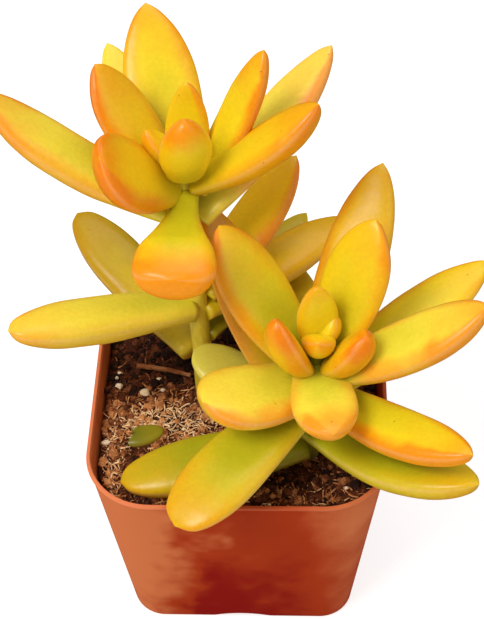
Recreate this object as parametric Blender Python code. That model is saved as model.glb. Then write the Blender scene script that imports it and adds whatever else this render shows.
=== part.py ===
"""A golden sedum in a square nursery pot, in metres, +Z up.

The origin is the middle of the pot's underside, on the surface that the pot stands on, and the
view that the plant was measured from looks along +Y. Two leafy stems stand in plain holes in the
soil. Each large leaf is a solid of its own, 0.3 mm clear of its stem. The small leaves round each
growing tip are fused into one bud.
"""

import math
from collections import namedtuple

import bmesh
import bpy
import numpy as np
from mathutils import Vector, noise

MM = 0.001  # every size below is in millimetres, and meshes are in metres
GAP = 0.3  # clearance between solids that touch on the plant

# Pot
POT_HEIGHT = 46.5
POT_TOP = 55.0  # outer width under the bead
POT_BASE = 44.0  # outer width at the foot
POT_TOP_CORNER = 12.0
POT_BASE_CORNER = 6.5
POT_WALL = 0.9
POT_FLOOR = 1.2
POT_FOOT_EDGE = 0.8  # rounding between wall and foot
BEAD_HEIGHT = 1.1
BEAD_PROUD = 0.35
ARCH_WIDTH = 14.0  # raised arch in the middle of each foot edge
ARCH_RISE = 0.8
ARCH_DEPTH = 5.0
DRAIN_DIAMETER = 4.5
DRAIN_FROM_CENTRE = 10.0
CORNER_STEPS = 6

# Soil
SOIL_LEVEL = 42.0
SOIL_RELIEF = 0.7
SOIL_LUMPS_PER_MM = 0.13
SOIL_RINGS = (1.0, 0.86, 0.7, 0.52, 0.34, 0.17)
SOIL_SIDE_STEPS = 4
HOLE_CLEARANCE = 0.6
HOLE_BOTTOM = 36.5

# Leaves
LEAF_RINGS = 9
LEAF_SIDES = 12
UPPER_SHARE = 0.36  # share of a leaf's thickness above its margins
RING_CROWDING = 1.35  # rings stand closer towards the tip

Form = namedtuple("Form", "base_width base_thickness widest tip_power")
FORMS = {
    "long": Form(0.34, 0.45, 0.52, 0.80),
    "young": Form(0.60, 0.62, 0.38, 0.75),
    "broad": Form(0.32, 0.48, 0.46, 0.70),
    "blunt": Form(0.34, 0.46, 0.60, 0.55),
    "wedge": Form(0.26, 0.45, 0.82, 0.50),
}

# A stem is one cubic curve: its two ends and the two handles between them.
Stem = namedtuple("Stem", "foot foot_handle top_handle top foot_radius top_radius")
STEMS = {
    "upper": Stem((-6.8, 3.2, 37), (-7.0, 3.7, 55), (-7.8, 8.3, 72.5), (-9.2, 12.8, 91.5), 1.95, 1.65),
    "lower": Stem((13, -12, 37), (13, -12, 48), (13.3, -10.5, 58), (14.5, -8.7, 69), 2.0, 1.65),
}
STEM_STEPS = 16
STEM_SAMPLES = 400

# rise: from the soil along the stem. azimuth: round +Z from +X. elevation: of the line from root
# to tip. curl: how far the tip turns up against the root. roll: round that line. Angles in degrees.
Leaf = namedtuple("Leaf", "stem rise azimuth elevation length width thickness curl roll form tint")
LEAVES = {
    "upper_leaf_01": Leaf("upper", 44.8, 105, 36, 34, 13.5, 5.5, 10, 0, "long", "gold"),
    "upper_leaf_02": Leaf("upper", 41.8, 117, 21.5, 35, 10, 5, 15, 0, "long", "gold"),
    "upper_leaf_03": Leaf("upper", 47.8, 148, 52, 24.5, 11, 5.5, 15, 0, "long", "gold"),
    "upper_leaf_04": Leaf("upper", 40, 174, 37.5, 38, 10.5, 6.8, 28, 0, "long", "gold"),
    "upper_leaf_05": Leaf("upper", 43.5, -143, 57, 25, 13, 7, 15, 0, "blunt", "orange"),
    "upper_leaf_06": Leaf("upper", 49.7, 83, 77, 16, 7.4, 3.8, 10, 0, "young", "gold"),
    "upper_leaf_07": Leaf("upper", 49.5, -60, 84, 14.5, 9, 5, 15, 0, "young", "orange"),
    "upper_leaf_08": Leaf("upper", 46.4, 31, 58, 26, 8, 4.8, 15, 0, "long", "gold"),
    "upper_leaf_09": Leaf("upper", 40.5, 43, 32, 37, 10, 6, 10, 0, "long", "pale"),
    "upper_leaf_10": Leaf("upper", 43.5, -2, 48, 30, 10, 6.5, 20, 0, "long", "orange"),
    "upper_leaf_11": Leaf("upper", 41, -93, 17, 25, 15, 7, 45, 0, "wedge", "orange"),
    "upper_leaf_12": Leaf("upper", 24, 52, 26, 29.5, 10, 5, 15, 0, "long", "pale"),
    "upper_leaf_13": Leaf("upper", 20.5, 40, 1, 34, 9.5, 6.5, 5, 0, "long", "olive"),
    "upper_leaf_14": Leaf("upper", 14.5, 57, 3, 34, 9, 5, 5, 0, "long", "olive"),
    "upper_leaf_15": Leaf("upper", 22, -154, 15, 34, 9.5, 8, 0, 0, "long", "gold"),
    "upper_leaf_16": Leaf("upper", 11, 133, 14, 35.5, 11, 7.5, 5, 0, "long", "olive"),
    "lower_leaf_01": Leaf("lower", 23, 144, 49, 28.5, 13.5, 6, 15, 0, "long", "gold"),
    "lower_leaf_02": Leaf("lower", 16, 123, 36, 36.5, 12.5, 6, 10, 0, "long", "gold"),
    "lower_leaf_03": Leaf("lower", 24.4, 52, 60.5, 25.5, 11.5, 5.5, 10, 0, "long", "gold"),
    "lower_leaf_04": Leaf("lower", 20.2, 69, 35.5, 38, 12, 6.5, 10, 0, "long", "gold"),
    "lower_leaf_05": Leaf("lower", 16.6, 34, 15, 37.5, 11, 6.3, 0, 0, "long", "pale"),
    "lower_leaf_06": Leaf("lower", 22.3, -5, 37, 32, 12, 6.5, 18, 0, "long", "gold"),
    "lower_leaf_07": Leaf("lower", 17.5, -41, 17, 33, 11, 7, 20, 0, "long", "orange"),
    "lower_leaf_08": Leaf("lower", 9.2, -37, 18, 34, 11, 6, 25, -35, "long", "green"),
    "lower_leaf_09": Leaf("lower", 22.6, -83, 17, 18.5, 11.5, 6, 20, 0, "broad", "orange"),
    "lower_leaf_10": Leaf("lower", 19.5, -147, 22, 22, 13, 7.2, 20, 0, "blunt", "orange"),
    "lower_leaf_11": Leaf("lower", 15.5, -132, -7, 33, 12.8, 6.5, -20, 0, "blunt", "green"),
    "lower_leaf_12": Leaf("lower", 5.5, -166, -3, 33, 10.5, 6, 0, 0, "long", "green"),
    "lower_leaf_13": Leaf("lower", 25.5, -149, 70, 13, 7, 4, 15, 0, "young", "orange"),
    "lower_leaf_14": Leaf("lower", 26, -22, 58, 11.5, 6.2, 4, 15, 0, "young", "orange"),
    "lower_leaf_15": Leaf("lower", 8, 154, 22, 22.5, 9.5, 5.5, 0, 0, "blunt", "pale"),
    "lower_leaf_16": Leaf("lower", 12.5, 92, 20, 20, 8, 5, 10, 0, "long", "olive"),
}

# The small leaves of a bud stand on its core. Their places are from the stem's top.
BudLeaf = namedtuple("BudLeaf", "azimuth elevation length width thickness")
BUDS = {
    "upper_bud": ("upper", 5.5, 3.2, (BudLeaf(168, 62, 9.5, 5.6, 3.4), BudLeaf(-140, 74, 6.5, 3.2, 2.4),
                                      BudLeaf(15, 72, 6.0, 3.0, 2.4))),
    "lower_bud": ("lower", 3.6, 3.2, (BudLeaf(101, 82, 11.3, 7.0, 4.2), BudLeaf(-95, 40, 6.0, 5.2, 3.0),
                                      BudLeaf(35, 66, 4.5, 3.2, 2.4), BudLeaf(170, 60, 4.5, 3.2, 2.4))),
}
BUD_ROOT_SUNK = 0.6
BUD_ROOT_RISE = 1.3
BUD_ROOT_STEP = 0.15

# Loose things on the soil
TWIG_ENDS = ((-20.4, 7.9), (-9.8, 5.6))
TWIG_DIAMETER = 1.1
FALLEN_LEAF = Leaf(None, 0, 20, 0, 8, 4.6, 3.0, 10, 0, "blunt", "olive")
FALLEN_LEAF_ROOT = (-21.2, -10.6)

TINTS = {
    "gold": (0.84, 0.57, 0.03),
    "orange": (0.86, 0.38, 0.03),
    "pale": (0.88, 0.74, 0.16),
    "green": (0.50, 0.46, 0.02),
    "olive": (0.42, 0.36, 0.02),
}


def clear_scene():
    """Removes the scene's objects."""
    for thing in list(bpy.data.objects):
        bpy.data.objects.remove(thing, do_unlink=True)


def new_collection(name, hidden=False):
    """A collection in the scene. One that holds cutters is left out of renders."""
    collection = bpy.data.collections.new(name)
    collection.hide_render = hidden
    bpy.context.scene.collection.children.link(collection)
    return collection


def make_material(name, colour, roughness):
    """A Principled material of one colour."""
    material = bpy.data.materials.new(name)
    material.use_nodes = True
    shader = material.node_tree.nodes["Principled BSDF"]
    shader.inputs["Base Color"].default_value = (*colour, 1.0)
    shader.inputs["Roughness"].default_value = roughness
    shader.inputs["Metallic"].default_value = 0.0
    material.diffuse_color = (*colour, 1.0)
    return material


def mesh_object(name, points, faces, material, collection, sharp_above=40.0):
    """An object from points in millimetres, with its faces turned outwards and shaded smooth."""
    shape = bmesh.new()
    corners = [shape.verts.new(Vector(point) * MM) for point in points]
    for face in faces:
        shape.faces.new([corners[i] for i in face])
    bmesh.ops.recalc_face_normals(shape, faces=shape.faces)
    mesh = bpy.data.meshes.new(name)
    shape.to_mesh(mesh)
    shape.free()
    mesh.shade_smooth()
    mesh.set_sharp_from_angle(angle=math.radians(sharp_above))
    mesh.materials.append(material)
    thing = bpy.data.objects.new(name, mesh)
    collection.objects.link(thing)
    return thing


def as_mesh(thing, collection):
    """The object's evaluated shape as a plain mesh object of the same name, in its place."""
    bpy.context.view_layer.update()
    graph = bpy.context.evaluated_depsgraph_get()
    mesh = bpy.data.meshes.new_from_object(thing.evaluated_get(graph))
    shape = bmesh.new()
    shape.from_mesh(mesh)
    bmesh.ops.remove_doubles(shape, verts=shape.verts, dist=1e-6)
    shape.to_mesh(mesh)
    shape.free()
    name, matrix = thing.name, thing.matrix_world.copy()
    bpy.data.objects.remove(thing, do_unlink=True)
    plain = bpy.data.objects.new(name, mesh)
    plain.matrix_world = matrix
    collection.objects.link(plain)
    return plain


def add_boolean(thing, cutter, operation):
    """A Boolean on the object with one cutter."""
    modifier = thing.modifiers.new(f"{operation.lower()} {cutter.name}", "BOOLEAN")
    modifier.operation = operation
    modifier.solver = "EXACT"
    modifier.object = cutter


def cylinder_cutter(name, radius, length, centre, along, cutters, sides=32):
    """A hidden cylinder. along is the axis letter, and sizes are in millimetres."""
    shape = bmesh.new()
    bmesh.ops.create_cone(shape, cap_ends=True, segments=sides, radius1=radius * MM,
                          radius2=radius * MM, depth=length * MM)
    mesh = bpy.data.meshes.new(name)
    shape.to_mesh(mesh)
    shape.free()
    cutter = bpy.data.objects.new(name, mesh)
    quarter = math.radians(90)
    cutter.rotation_euler = {"X": (0, quarter, 0), "Y": (quarter, 0, 0), "Z": (0, 0, 0)}[along]
    cutter.location = Vector(centre) * MM
    cutter.hide_render = True
    cutter.display_type = "WIRE"
    cutters.objects.link(cutter)
    return cutter


def rounded_square(width, corner, z, side_steps=1):
    """The points of a square outline with round corners, anticlockwise from above."""
    points = []
    reach = width / 2 - corner
    for quarter in range(4):
        turn = math.radians(90 * quarter)
        cos_turn, sin_turn = round(math.cos(turn)), round(math.sin(turn))
        local = [(reach + corner, -reach + 2 * reach * i / side_steps) for i in range(side_steps)]
        for i in range(CORNER_STEPS):
            angle = math.radians(90 * i / CORNER_STEPS)
            local.append((reach + corner * math.cos(angle), reach + corner * math.sin(angle)))
        points += [(x * cos_turn - y * sin_turn, x * sin_turn + y * cos_turn, z) for x, y in local]
    return points


def loft(rings, first_centre, last_centre):
    """Points and faces through rings of equal count, closed by a fan to a centre at each end."""
    count = len(rings[0])
    points = [point for ring in rings for point in ring] + [first_centre, last_centre]
    first, last = len(points) - 2, len(points) - 1
    faces = []
    for row in range(len(rings) - 1):
        for i in range(count):
            a, b = row * count + i, row * count + (i + 1) % count
            faces += [(a, b, b + count), (a, b + count, a + count)]
    top = (len(rings) - 1) * count
    for i in range(count):
        following = (i + 1) % count
        faces += [(first, following, i), (last, top + i, top + following)]
    return points, faces


def pot_width(z):
    """The pot's outer width at a height."""
    return POT_BASE + (POT_TOP - POT_BASE) * z / POT_HEIGHT


def pot_corner(z):
    """The pot's outer corner radius at a height."""
    return POT_BASE_CORNER + (POT_TOP_CORNER - POT_BASE_CORNER) * z / POT_HEIGHT


def pot_ring(z, inset):
    """The pot's outline at a height, moved inwards by inset."""
    return rounded_square(pot_width(z) - 2 * inset, pot_corner(z) - inset, z)


def build_pot(collection, cutters):
    """A thin tapered shell with a bead on its rim, arches in its foot and four drain holes."""
    bead_foot = POT_HEIGHT - BEAD_HEIGHT
    rings = [
        pot_ring(0, POT_FOOT_EDGE),
        pot_ring(0.25 * POT_FOOT_EDGE, 0.25 * POT_FOOT_EDGE),
        pot_ring(POT_FOOT_EDGE, 0),
        pot_ring(bead_foot, 0),
        pot_ring(bead_foot + 0.2 * BEAD_HEIGHT, -BEAD_PROUD),
        pot_ring(POT_HEIGHT - 0.25 * BEAD_HEIGHT, -BEAD_PROUD),
        pot_ring(POT_HEIGHT, 0.1),
        pot_ring(POT_HEIGHT, 0.75 * POT_WALL),
        pot_ring(POT_HEIGHT - 0.3, POT_WALL),
        pot_ring(POT_FLOOR, POT_WALL),
    ]
    points, faces = loft(rings, (0, 0, 0), (0, 0, POT_FLOOR))
    plastic = make_material("pot_terracotta_plastic", (0.38, 0.06, 0.02), 0.38)
    pot = mesh_object("pot", points, faces, plastic, collection, 30)
    arch_radius = (ARCH_WIDTH ** 2 / 4 + ARCH_RISE ** 2) / (2 * ARCH_RISE)
    for side, (x, y) in enumerate(((1, 0), (0, 1), (-1, 0), (0, -1))):
        reach = POT_BASE / 2
        centre = (x * reach, y * reach, ARCH_RISE - arch_radius)
        arch = cylinder_cutter(f"arch_cutter_{side + 1}", arch_radius, 2 * ARCH_DEPTH, centre,
                               "X" if x else "Y", cutters, 128)
        add_boolean(pot, arch, "DIFFERENCE")
    for i, (x, y) in enumerate(((1, 1), (-1, 1), (-1, -1), (1, -1))):
        centre = (x * DRAIN_FROM_CENTRE, y * DRAIN_FROM_CENTRE, 0)
        drain = cylinder_cutter(f"drain_cutter_{i + 1}", DRAIN_DIAMETER / 2, 4 * POT_FLOOR, centre,
                                "Z", cutters, 24)
        add_boolean(pot, drain, "DIFFERENCE")
    return pot


def soil_height(x, y):
    """The height of the soil's uneven top."""
    place = Vector((x, y, 0)) * SOIL_LUMPS_PER_MM
    return SOIL_LEVEL + SOIL_RELIEF * noise.noise(place)


def build_soil(collection, cutters):
    """The block of potting mix, clear of the pot's inside, with a plain hole for each stem."""
    def side_ring(z):
        inset = POT_WALL + GAP
        return rounded_square(pot_width(z) - 2 * inset, pot_corner(z) - inset, z, SOIL_SIDE_STEPS)

    edge = side_ring(SOIL_LEVEL)
    rings = [side_ring(POT_FLOOR + GAP)]
    for share in SOIL_RINGS:
        ring = [(x * share, y * share) for x, y, _ in edge]
        rings.append([(x, y, soil_height(x, y)) for x, y in ring])
    points, faces = loft(rings, (0, 0, POT_FLOOR + GAP), (0, 0, soil_height(0, 0)))
    soil = mesh_object("soil", points, faces, make_material("soil_potting_mix", (0.06, 0.03, 0.015), 0.95),
                       collection)
    for name, stem in STEMS.items():
        x, y = stem.foot[:2]
        length = SOIL_LEVEL + 3 - HOLE_BOTTOM
        hole = cylinder_cutter(f"{name}_stem_hole_cutter", stem.foot_radius + HOLE_CLEARANCE, length,
                               (x, y, HOLE_BOTTOM + length / 2), "Z", cutters, 20)
        add_boolean(soil, hole, "DIFFERENCE")
    return soil


def build_stem(name, stem, collection, material):
    """A tapering tube along the stem's curve."""
    curve = bpy.data.curves.new(name, "CURVE")
    curve.dimensions = "3D"
    curve.bevel_depth = MM
    curve.bevel_resolution = 2
    curve.use_fill_caps = True
    curve.resolution_u = STEM_STEPS
    spline = curve.splines.new("BEZIER")
    spline.bezier_points.add(1)
    foot, top = spline.bezier_points
    foot.co, top.co = Vector(stem.foot) * MM, Vector(stem.top) * MM
    foot.handle_right = Vector(stem.foot_handle) * MM
    foot.handle_left = foot.co * 2 - foot.handle_right
    top.handle_left = Vector(stem.top_handle) * MM
    top.handle_right = top.co * 2 - top.handle_left
    foot.radius, top.radius = stem.foot_radius, stem.top_radius
    curve.materials.append(material)
    thing = bpy.data.objects.new(name, curve)
    collection.objects.link(thing)
    return thing


def stem_samples(stem):
    """Points along the stem, and each one's distance from the soil along it."""
    t = np.linspace(0, 1, STEM_SAMPLES)[:, None]
    foot, foot_handle, top_handle, top = (np.array(p, float) for p in stem[:4])
    points = ((1 - t) ** 3 * foot + 3 * (1 - t) ** 2 * t * foot_handle
              + 3 * (1 - t) * t ** 2 * top_handle + t ** 3 * top)
    steps = np.linalg.norm(np.diff(points, axis=0), axis=1)
    rise = np.concatenate(([0.0], np.cumsum(steps)))
    return points, rise - np.interp(SOIL_LEVEL, points[:, 2], rise)


def unit(vector):
    """The vector at length 1."""
    return vector / np.linalg.norm(vector)


def stem_at(stem, rise):
    """The stem's centre, direction and radius at a distance from the soil along it."""
    points, along = stem_samples(stem)
    before, centre, after = (
        np.array([np.interp(rise + step, along, points[:, axis]) for axis in range(3)])
        for step in (-0.2, 0.0, 0.2)
    )
    share = (rise - along[0]) / (along[-1] - along[0])
    radius = stem.foot_radius + (stem.top_radius - stem.foot_radius) * share
    return centre, unit(after - before), radius


def direction(azimuth, elevation):
    """The unit vector of two angles in degrees."""
    a, e = math.radians(azimuth), math.radians(elevation)
    return np.array((math.cos(a) * math.cos(e), math.sin(a) * math.cos(e), math.sin(e)))


def leaf_root(leaf):
    """Where the leaf's root stands, the gap clear of its stem."""
    centre, along, radius = stem_at(STEMS[leaf.stem], leaf.rise)
    outwards = direction(leaf.azimuth, 0)
    outwards = unit(outwards - outwards.dot(along) * along)
    lean = abs(direction(leaf.azimuth, leaf.elevation - leaf.curl / 2).dot(along))
    root_thickness = leaf.thickness * FORMS[leaf.form].base_thickness
    return centre + outwards * (radius + GAP + lean * root_thickness / 2)


def swelling(share, root, widest, tip_power, fullness):
    """The half width or the thickness along a leaf, as a share of the greatest."""
    if share < widest:
        return root + (1 - root) * math.sin(math.pi / 2 * share / widest) ** 1.3
    past = (share - widest) / (1 - widest)
    return (1 - past ** fullness) ** tip_power


def leaf_points(leaf, root):
    """The rings of a thick pointed leaf, flatter above its margins and fuller below them."""
    form = FORMS[leaf.form]
    chord = direction(leaf.azimuth, leaf.elevation)
    turn = math.radians(leaf.azimuth)
    left = np.array((-math.sin(turn), math.cos(turn), 0.0))
    upright = np.cross(chord, left)
    upright *= 1 if upright[2] > 0 else -1
    across = np.cross(chord, upright)
    roll = math.radians(leaf.roll)
    face = math.cos(roll) * upright + math.sin(roll) * across
    across = -math.sin(roll) * upright + math.cos(roll) * across
    sag = leaf.length * math.tan(math.radians(leaf.curl) / 4) / 2
    rings = []
    for row in range(LEAF_RINGS):
        share = 1 - (1 - row / LEAF_RINGS) ** RING_CROWDING
        centre = root + chord * leaf.length * share - face * 4 * sag * share * (1 - share)
        along = unit(chord * leaf.length - face * 4 * sag * (1 - 2 * share))
        normal = unit(face - face.dot(along) * along)
        half_width = leaf.width / 2 * swelling(share, form.base_width, form.widest, form.tip_power, 2.1)
        thickness = leaf.thickness * swelling(share, form.base_thickness, 0.5, 0.6, 2.6)
        ring = []
        for i in range(LEAF_SIDES):
            angle = 2 * math.pi * i / LEAF_SIDES
            sine, cosine = math.sin(angle), math.cos(angle)
            side = half_width * math.copysign(abs(cosine) ** 0.9, cosine)
            if sine > 0:
                lift = UPPER_SHARE * thickness * sine ** 0.85
            else:
                lift = -(1 - UPPER_SHARE) * thickness * (-sine) ** 0.9
            ring.append(tuple(centre + across * side + normal * lift))
        rings.append(ring)
    return rings, tuple(root), tuple(root + chord * leaf.length)


def build_leaf(name, leaf, root, collection, material):
    """One leaf as a closed solid."""
    rings, foot, tip = leaf_points(leaf, root)
    points, faces = loft(rings, foot, tip)
    return mesh_object(name, points, faces, material, collection, 60)


def build_bud(name, collection, material):
    """A growing tip with its small leaves, joined in one solid above the stem's end."""
    stem_name, core_length, core_width, small_leaves = BUDS[name]
    stem = STEMS[stem_name]
    top = np.array(stem.top, float)
    along = unit(top - np.array(stem.top_handle, float))
    seat = top + along * GAP
    azimuth = math.degrees(math.atan2(along[1], along[0]))
    elevation = math.degrees(math.asin(along[2]))
    core = Leaf(stem_name, 0, azimuth, elevation, core_length, core_width, core_width, 0, 0, "young", None)
    bud = build_leaf(name, core, seat, collection, material)
    pieces = bpy.data.collections.new(f"{name}_pieces")
    bpy.context.scene.collection.children.link(pieces)
    for i, small in enumerate(small_leaves):
        outwards = direction(small.azimuth, 0)
        root = seat + outwards * (core_width / 2 * FORMS["young"].base_width - BUD_ROOT_SUNK)
        root = root + along * (BUD_ROOT_RISE + BUD_ROOT_STEP * i)
        leaf = Leaf(stem_name, 0, *small, 10, 0, "young", None)
        build_leaf(f"{name}_piece_{i + 1}", leaf, root, pieces, material)
    union = bud.modifiers.new("join small leaves", "BOOLEAN")
    union.operation = "UNION"
    union.solver = "EXACT"
    union.operand_type = "COLLECTION"
    union.collection = pieces
    joined = as_mesh(bud, collection)
    joined.name = name
    for piece in list(pieces.objects):
        bpy.data.objects.remove(piece, do_unlink=True)
    bpy.data.collections.remove(pieces)
    return joined


def build_twig(collection):
    """A dry twig that lies on the soil."""
    radius = TWIG_DIAMETER / 2
    curve = bpy.data.curves.new("twig", "CURVE")
    curve.dimensions = "3D"
    curve.bevel_depth = radius * MM
    curve.bevel_resolution = 1
    curve.use_fill_caps = True
    spline = curve.splines.new("POLY")
    spline.points.add(2)
    (x0, y0), (x1, y1) = TWIG_ENDS
    bed = max(soil_height(x0 + (x1 - x0) * i / 10, y0 + (y1 - y0) * i / 10) for i in range(11))
    for i, point in enumerate(spline.points):
        share = i / 2
        bow = 0.4 * math.sin(math.pi * share)
        place = Vector((x0 + (x1 - x0) * share, y0 + (y1 - y0) * share + bow, bed + GAP + radius))
        point.co = (*(place * MM), 1)
        point.radius = 1.0 - 0.25 * share
    curve.materials.append(make_material("twig_dry_bark", (0.32, 0.17, 0.08), 0.9))
    twig = bpy.data.objects.new("twig", curve)
    collection.objects.link(twig)
    return twig


def build_fallen_leaf(collection, material):
    """A small old leaf that lies on the soil."""
    x, y = FALLEN_LEAF_ROOT
    below = (1 - UPPER_SHARE) * FALLEN_LEAF.thickness
    bed = max(soil_height(x + i, y + j) for i in range(0, 9, 2) for j in (-2, 0, 2, 4))
    root = np.array((x, y, bed + GAP + below))
    return build_leaf("fallen_leaf", FALLEN_LEAF, root, collection, material)


def main():
    """Builds the plant and its pot."""
    clear_scene()
    parts = new_collection("potted_sedum")
    cutters = new_collection("cutters", hidden=True)
    build_pot(parts, cutters)
    build_soil(parts, cutters)
    stem_skin = make_material("stem_skin", (0.52, 0.47, 0.05), 0.5)
    skins = {tint: make_material(f"leaf_{tint}", colour, 0.42) for tint, colour in TINTS.items()}
    for name, stem in STEMS.items():
        build_stem(f"{name}_stem", stem, parts, stem_skin)
    for name, leaf in LEAVES.items():
        build_leaf(name, leaf, leaf_root(leaf), parts, skins[leaf.tint])
    for name in BUDS:
        build_bud(name, parts, skins["gold"])
    build_twig(parts)
    build_fallen_leaf(parts, skins["olive"])


main()
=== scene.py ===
"""The looks of a golden sedum in a square nursery pot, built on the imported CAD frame.

Lengths in the classes are millimetres and angles are degrees. Meshes are in metres, +Z up, with
the origin under the middle of the pot, as in the frame.
"""

import logging
import math
from dataclasses import dataclass
from enum import Enum
from functools import partial

import bmesh
import bpy
import numpy as np
from mathutils import Matrix, Vector, noise


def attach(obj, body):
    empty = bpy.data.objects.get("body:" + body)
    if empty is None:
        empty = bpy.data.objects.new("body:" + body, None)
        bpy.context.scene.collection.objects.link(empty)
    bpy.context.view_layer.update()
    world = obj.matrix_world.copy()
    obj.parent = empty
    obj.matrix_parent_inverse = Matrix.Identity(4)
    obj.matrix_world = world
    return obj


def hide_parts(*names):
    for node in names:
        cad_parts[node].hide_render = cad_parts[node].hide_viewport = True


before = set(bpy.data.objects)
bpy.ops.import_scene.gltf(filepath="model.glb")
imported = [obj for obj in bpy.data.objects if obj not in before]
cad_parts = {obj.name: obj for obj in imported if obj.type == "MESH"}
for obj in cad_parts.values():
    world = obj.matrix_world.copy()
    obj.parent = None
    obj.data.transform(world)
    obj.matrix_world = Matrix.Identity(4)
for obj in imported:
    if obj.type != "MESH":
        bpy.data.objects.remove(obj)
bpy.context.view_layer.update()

log = logging.getLogger("potted_sedum")

MM = 0.001
BODY = "root"
NODE_FAMILIES = ("ShaderNode", "GeometryNode", "FunctionNode", "Node")
NODE_MODES = ("operation", "interpolation_type", "blend_type", "mode")
COLOUR = {"data_type": "RGBA", "output": 2}  # what makes a Mix node mix colours, in its inputs 6 and 7


def linear(hex_code: str) -> tuple[float, float, float, float]:
    """Turns an sRGB hex colour to linear light.

    Args:
        hex_code: Six hex digits after a #.

    Returns:
        Red, green, blue and an alpha of 1.
    """
    shares = [int(hex_code[i:i + 2], 16) / 255 for i in (1, 3, 5)]
    return (*(s / 12.92 if s <= 0.04045 else ((s + 0.055) / 1.055) ** 2.4 for s in shares), 1.0)


def feed(node: bpy.types.Node, values: dict[int | str, object]) -> None:
    """Sets inputs of a node, by name or number, to a value or another node's output."""
    for name, value in values.items():
        if isinstance(value, bpy.types.NodeSocket):
            node.id_data.links.new(value, node.inputs[name])
        else:
            node.inputs[name].default_value = value


def add_node(tree: bpy.types.NodeTree, kind: str, *values: object, output: int | str = 0,
             **settings: object) -> bpy.types.NodeSocket | None:
    """Adds a node to a shader or geometry tree.

    Args:
        tree: The tree that takes the node.
        kind: The node's type without its family's name, and after a space its operation or mode.
        values: What its first inputs take, in order, or a dictionary of inputs by name or number.
        output: The wanted output's number or name.
        settings: The node's other properties.

    Returns:
        The wanted output, or None for a node without any.
    """
    name, _, mode = kind.partition(" ")
    family = next(family for family in NODE_FAMILIES if hasattr(bpy.types, family + name))
    node = tree.nodes.new(family + name)
    if mode:
        settings[next(key for key in NODE_MODES if hasattr(node, key))] = mode
    for key, value in settings.items():
        setattr(node, key, value)
    for number, value in enumerate(values):
        feed(node, value if isinstance(value, dict) else {number: value})
    return node.outputs[output] if node.outputs else None


def new_tree(name: str, inputs: dict[str, tuple[str, object]]) -> tuple[bpy.types.NodeTree, partial, object]:
    """Starts a geometry tree with named inputs.

    Args:
        name: The tree's name.
        inputs: For each input, its kind of socket and its default value.

    Returns:
        The tree, what adds a node to it, and the outputs that its inputs arrive at.
    """
    tree = bpy.data.node_groups.new(name, "GeometryNodeTree")
    tree.interface.new_socket("Geometry", in_out="INPUT", socket_type="NodeSocketGeometry")
    tree.interface.new_socket("Geometry", in_out="OUTPUT", socket_type="NodeSocketGeometry")
    for label, (kind, default) in inputs.items():
        socket = tree.interface.new_socket(label, in_out="INPUT", socket_type=f"NodeSocket{kind}")
        if default is not None:
            socket.default_value = default
    add = partial(add_node, tree)
    return tree, add, add("GroupInput").node.outputs


def end_tree(add: partial, geometry: bpy.types.NodeSocket, material: bpy.types.NodeSocket) -> None:
    """Ends a geometry tree in Realize Instances and Set Material."""
    real = add("RealizeInstances", geometry)
    add("GroupOutput", add("SetMaterial", real, {"Material": material}))


def uneven(add: partial, geometry: bpy.types.NodeSocket, lumps: bpy.types.NodeSocket,
           depth: bpy.types.NodeSocket) -> bpy.types.NodeSocket:
    """Pushes a surface in and out along its normals.

    Args:
        add: What adds a node to the tree.
        geometry: The surface.
        lumps: Noise about 0.5.
        depth: How far the noise pushes.

    Returns:
        The surface, shaded smooth.
    """
    swell = add("Math MULTIPLY", add("Math SUBTRACT", lumps, 0.5), depth)
    push = add("VectorMath SCALE", add("InputNormal"), {"Scale": swell})
    return add("SetShadeSmooth", add("SetPosition", geometry, {"Offset": push}))


def new_material(name: str, sockets: dict[str, object]) -> tuple[bpy.types.Material, bpy.types.Node, partial,
                                                                 bpy.types.NodeSocket]:
    """Starts a material.

    Args:
        name: The material's name.
        sockets: Values that are the same all over it, by the shader's socket.

    Returns:
        The material, its shader, what adds a node to it, and the object coordinates.
    """
    material = bpy.data.materials.new(name)
    material.use_nodes = True
    shader = material.node_tree.nodes["Principled BSDF"]
    feed(shader, sockets)
    add = partial(add_node, material.node_tree)
    return material, shader, add, add("TexCoord", output="Object")


def placed(name: str, mesh: bpy.types.Mesh, *materials: bpy.types.Material) -> bpy.types.Object:
    """Puts a mesh in the scene as an object at the origin, in these materials."""
    for material in materials:
        mesh.materials.append(material)
    piece = bpy.data.objects.new(name, mesh)
    bpy.context.scene.collection.objects.link(piece)
    return piece


def grow(name: str, tree: bpy.types.NodeTree, values: dict[str, object],
         base: bpy.types.Mesh | None = None) -> bpy.types.Object:
    """Runs a geometry tree and keeps its result as a plain mesh.

    Args:
        name: The piece's name.
        tree: The geometry tree.
        values: A value for each named input that leaves its default.
        base: The mesh that the tree starts from, if it reads one.

    Returns:
        The finished object, at the origin.
    """
    holder = placed(f"{name}_holder", base or bpy.data.meshes.new(f"{name}_holder"))
    modifier = holder.modifiers.new("grow", "NODES")
    modifier.node_group = tree
    sockets = {item.name: item.identifier for item in tree.interface.items_tree if item.in_out == "INPUT"}
    for label, value in values.items():
        modifier[sockets[label]] = value
    bpy.context.view_layer.update()
    graph = bpy.context.evaluated_depsgraph_get()
    mesh = bpy.data.meshes.new_from_object(holder.evaluated_get(graph))
    bpy.data.objects.remove(holder, do_unlink=True)
    mesh.name = name
    return placed(name, mesh)


def joined(name: str, pieces: list[bpy.types.Object]) -> bpy.types.Object:
    """Makes several mesh objects one object of this name, with their attributes kept."""
    first = pieces[0]
    with bpy.context.temp_override(active_object=first, object=first, selected_objects=pieces,
                                   selected_editable_objects=pieces):
        bpy.ops.object.join()
    first.name = first.data.name = name
    return first


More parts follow.
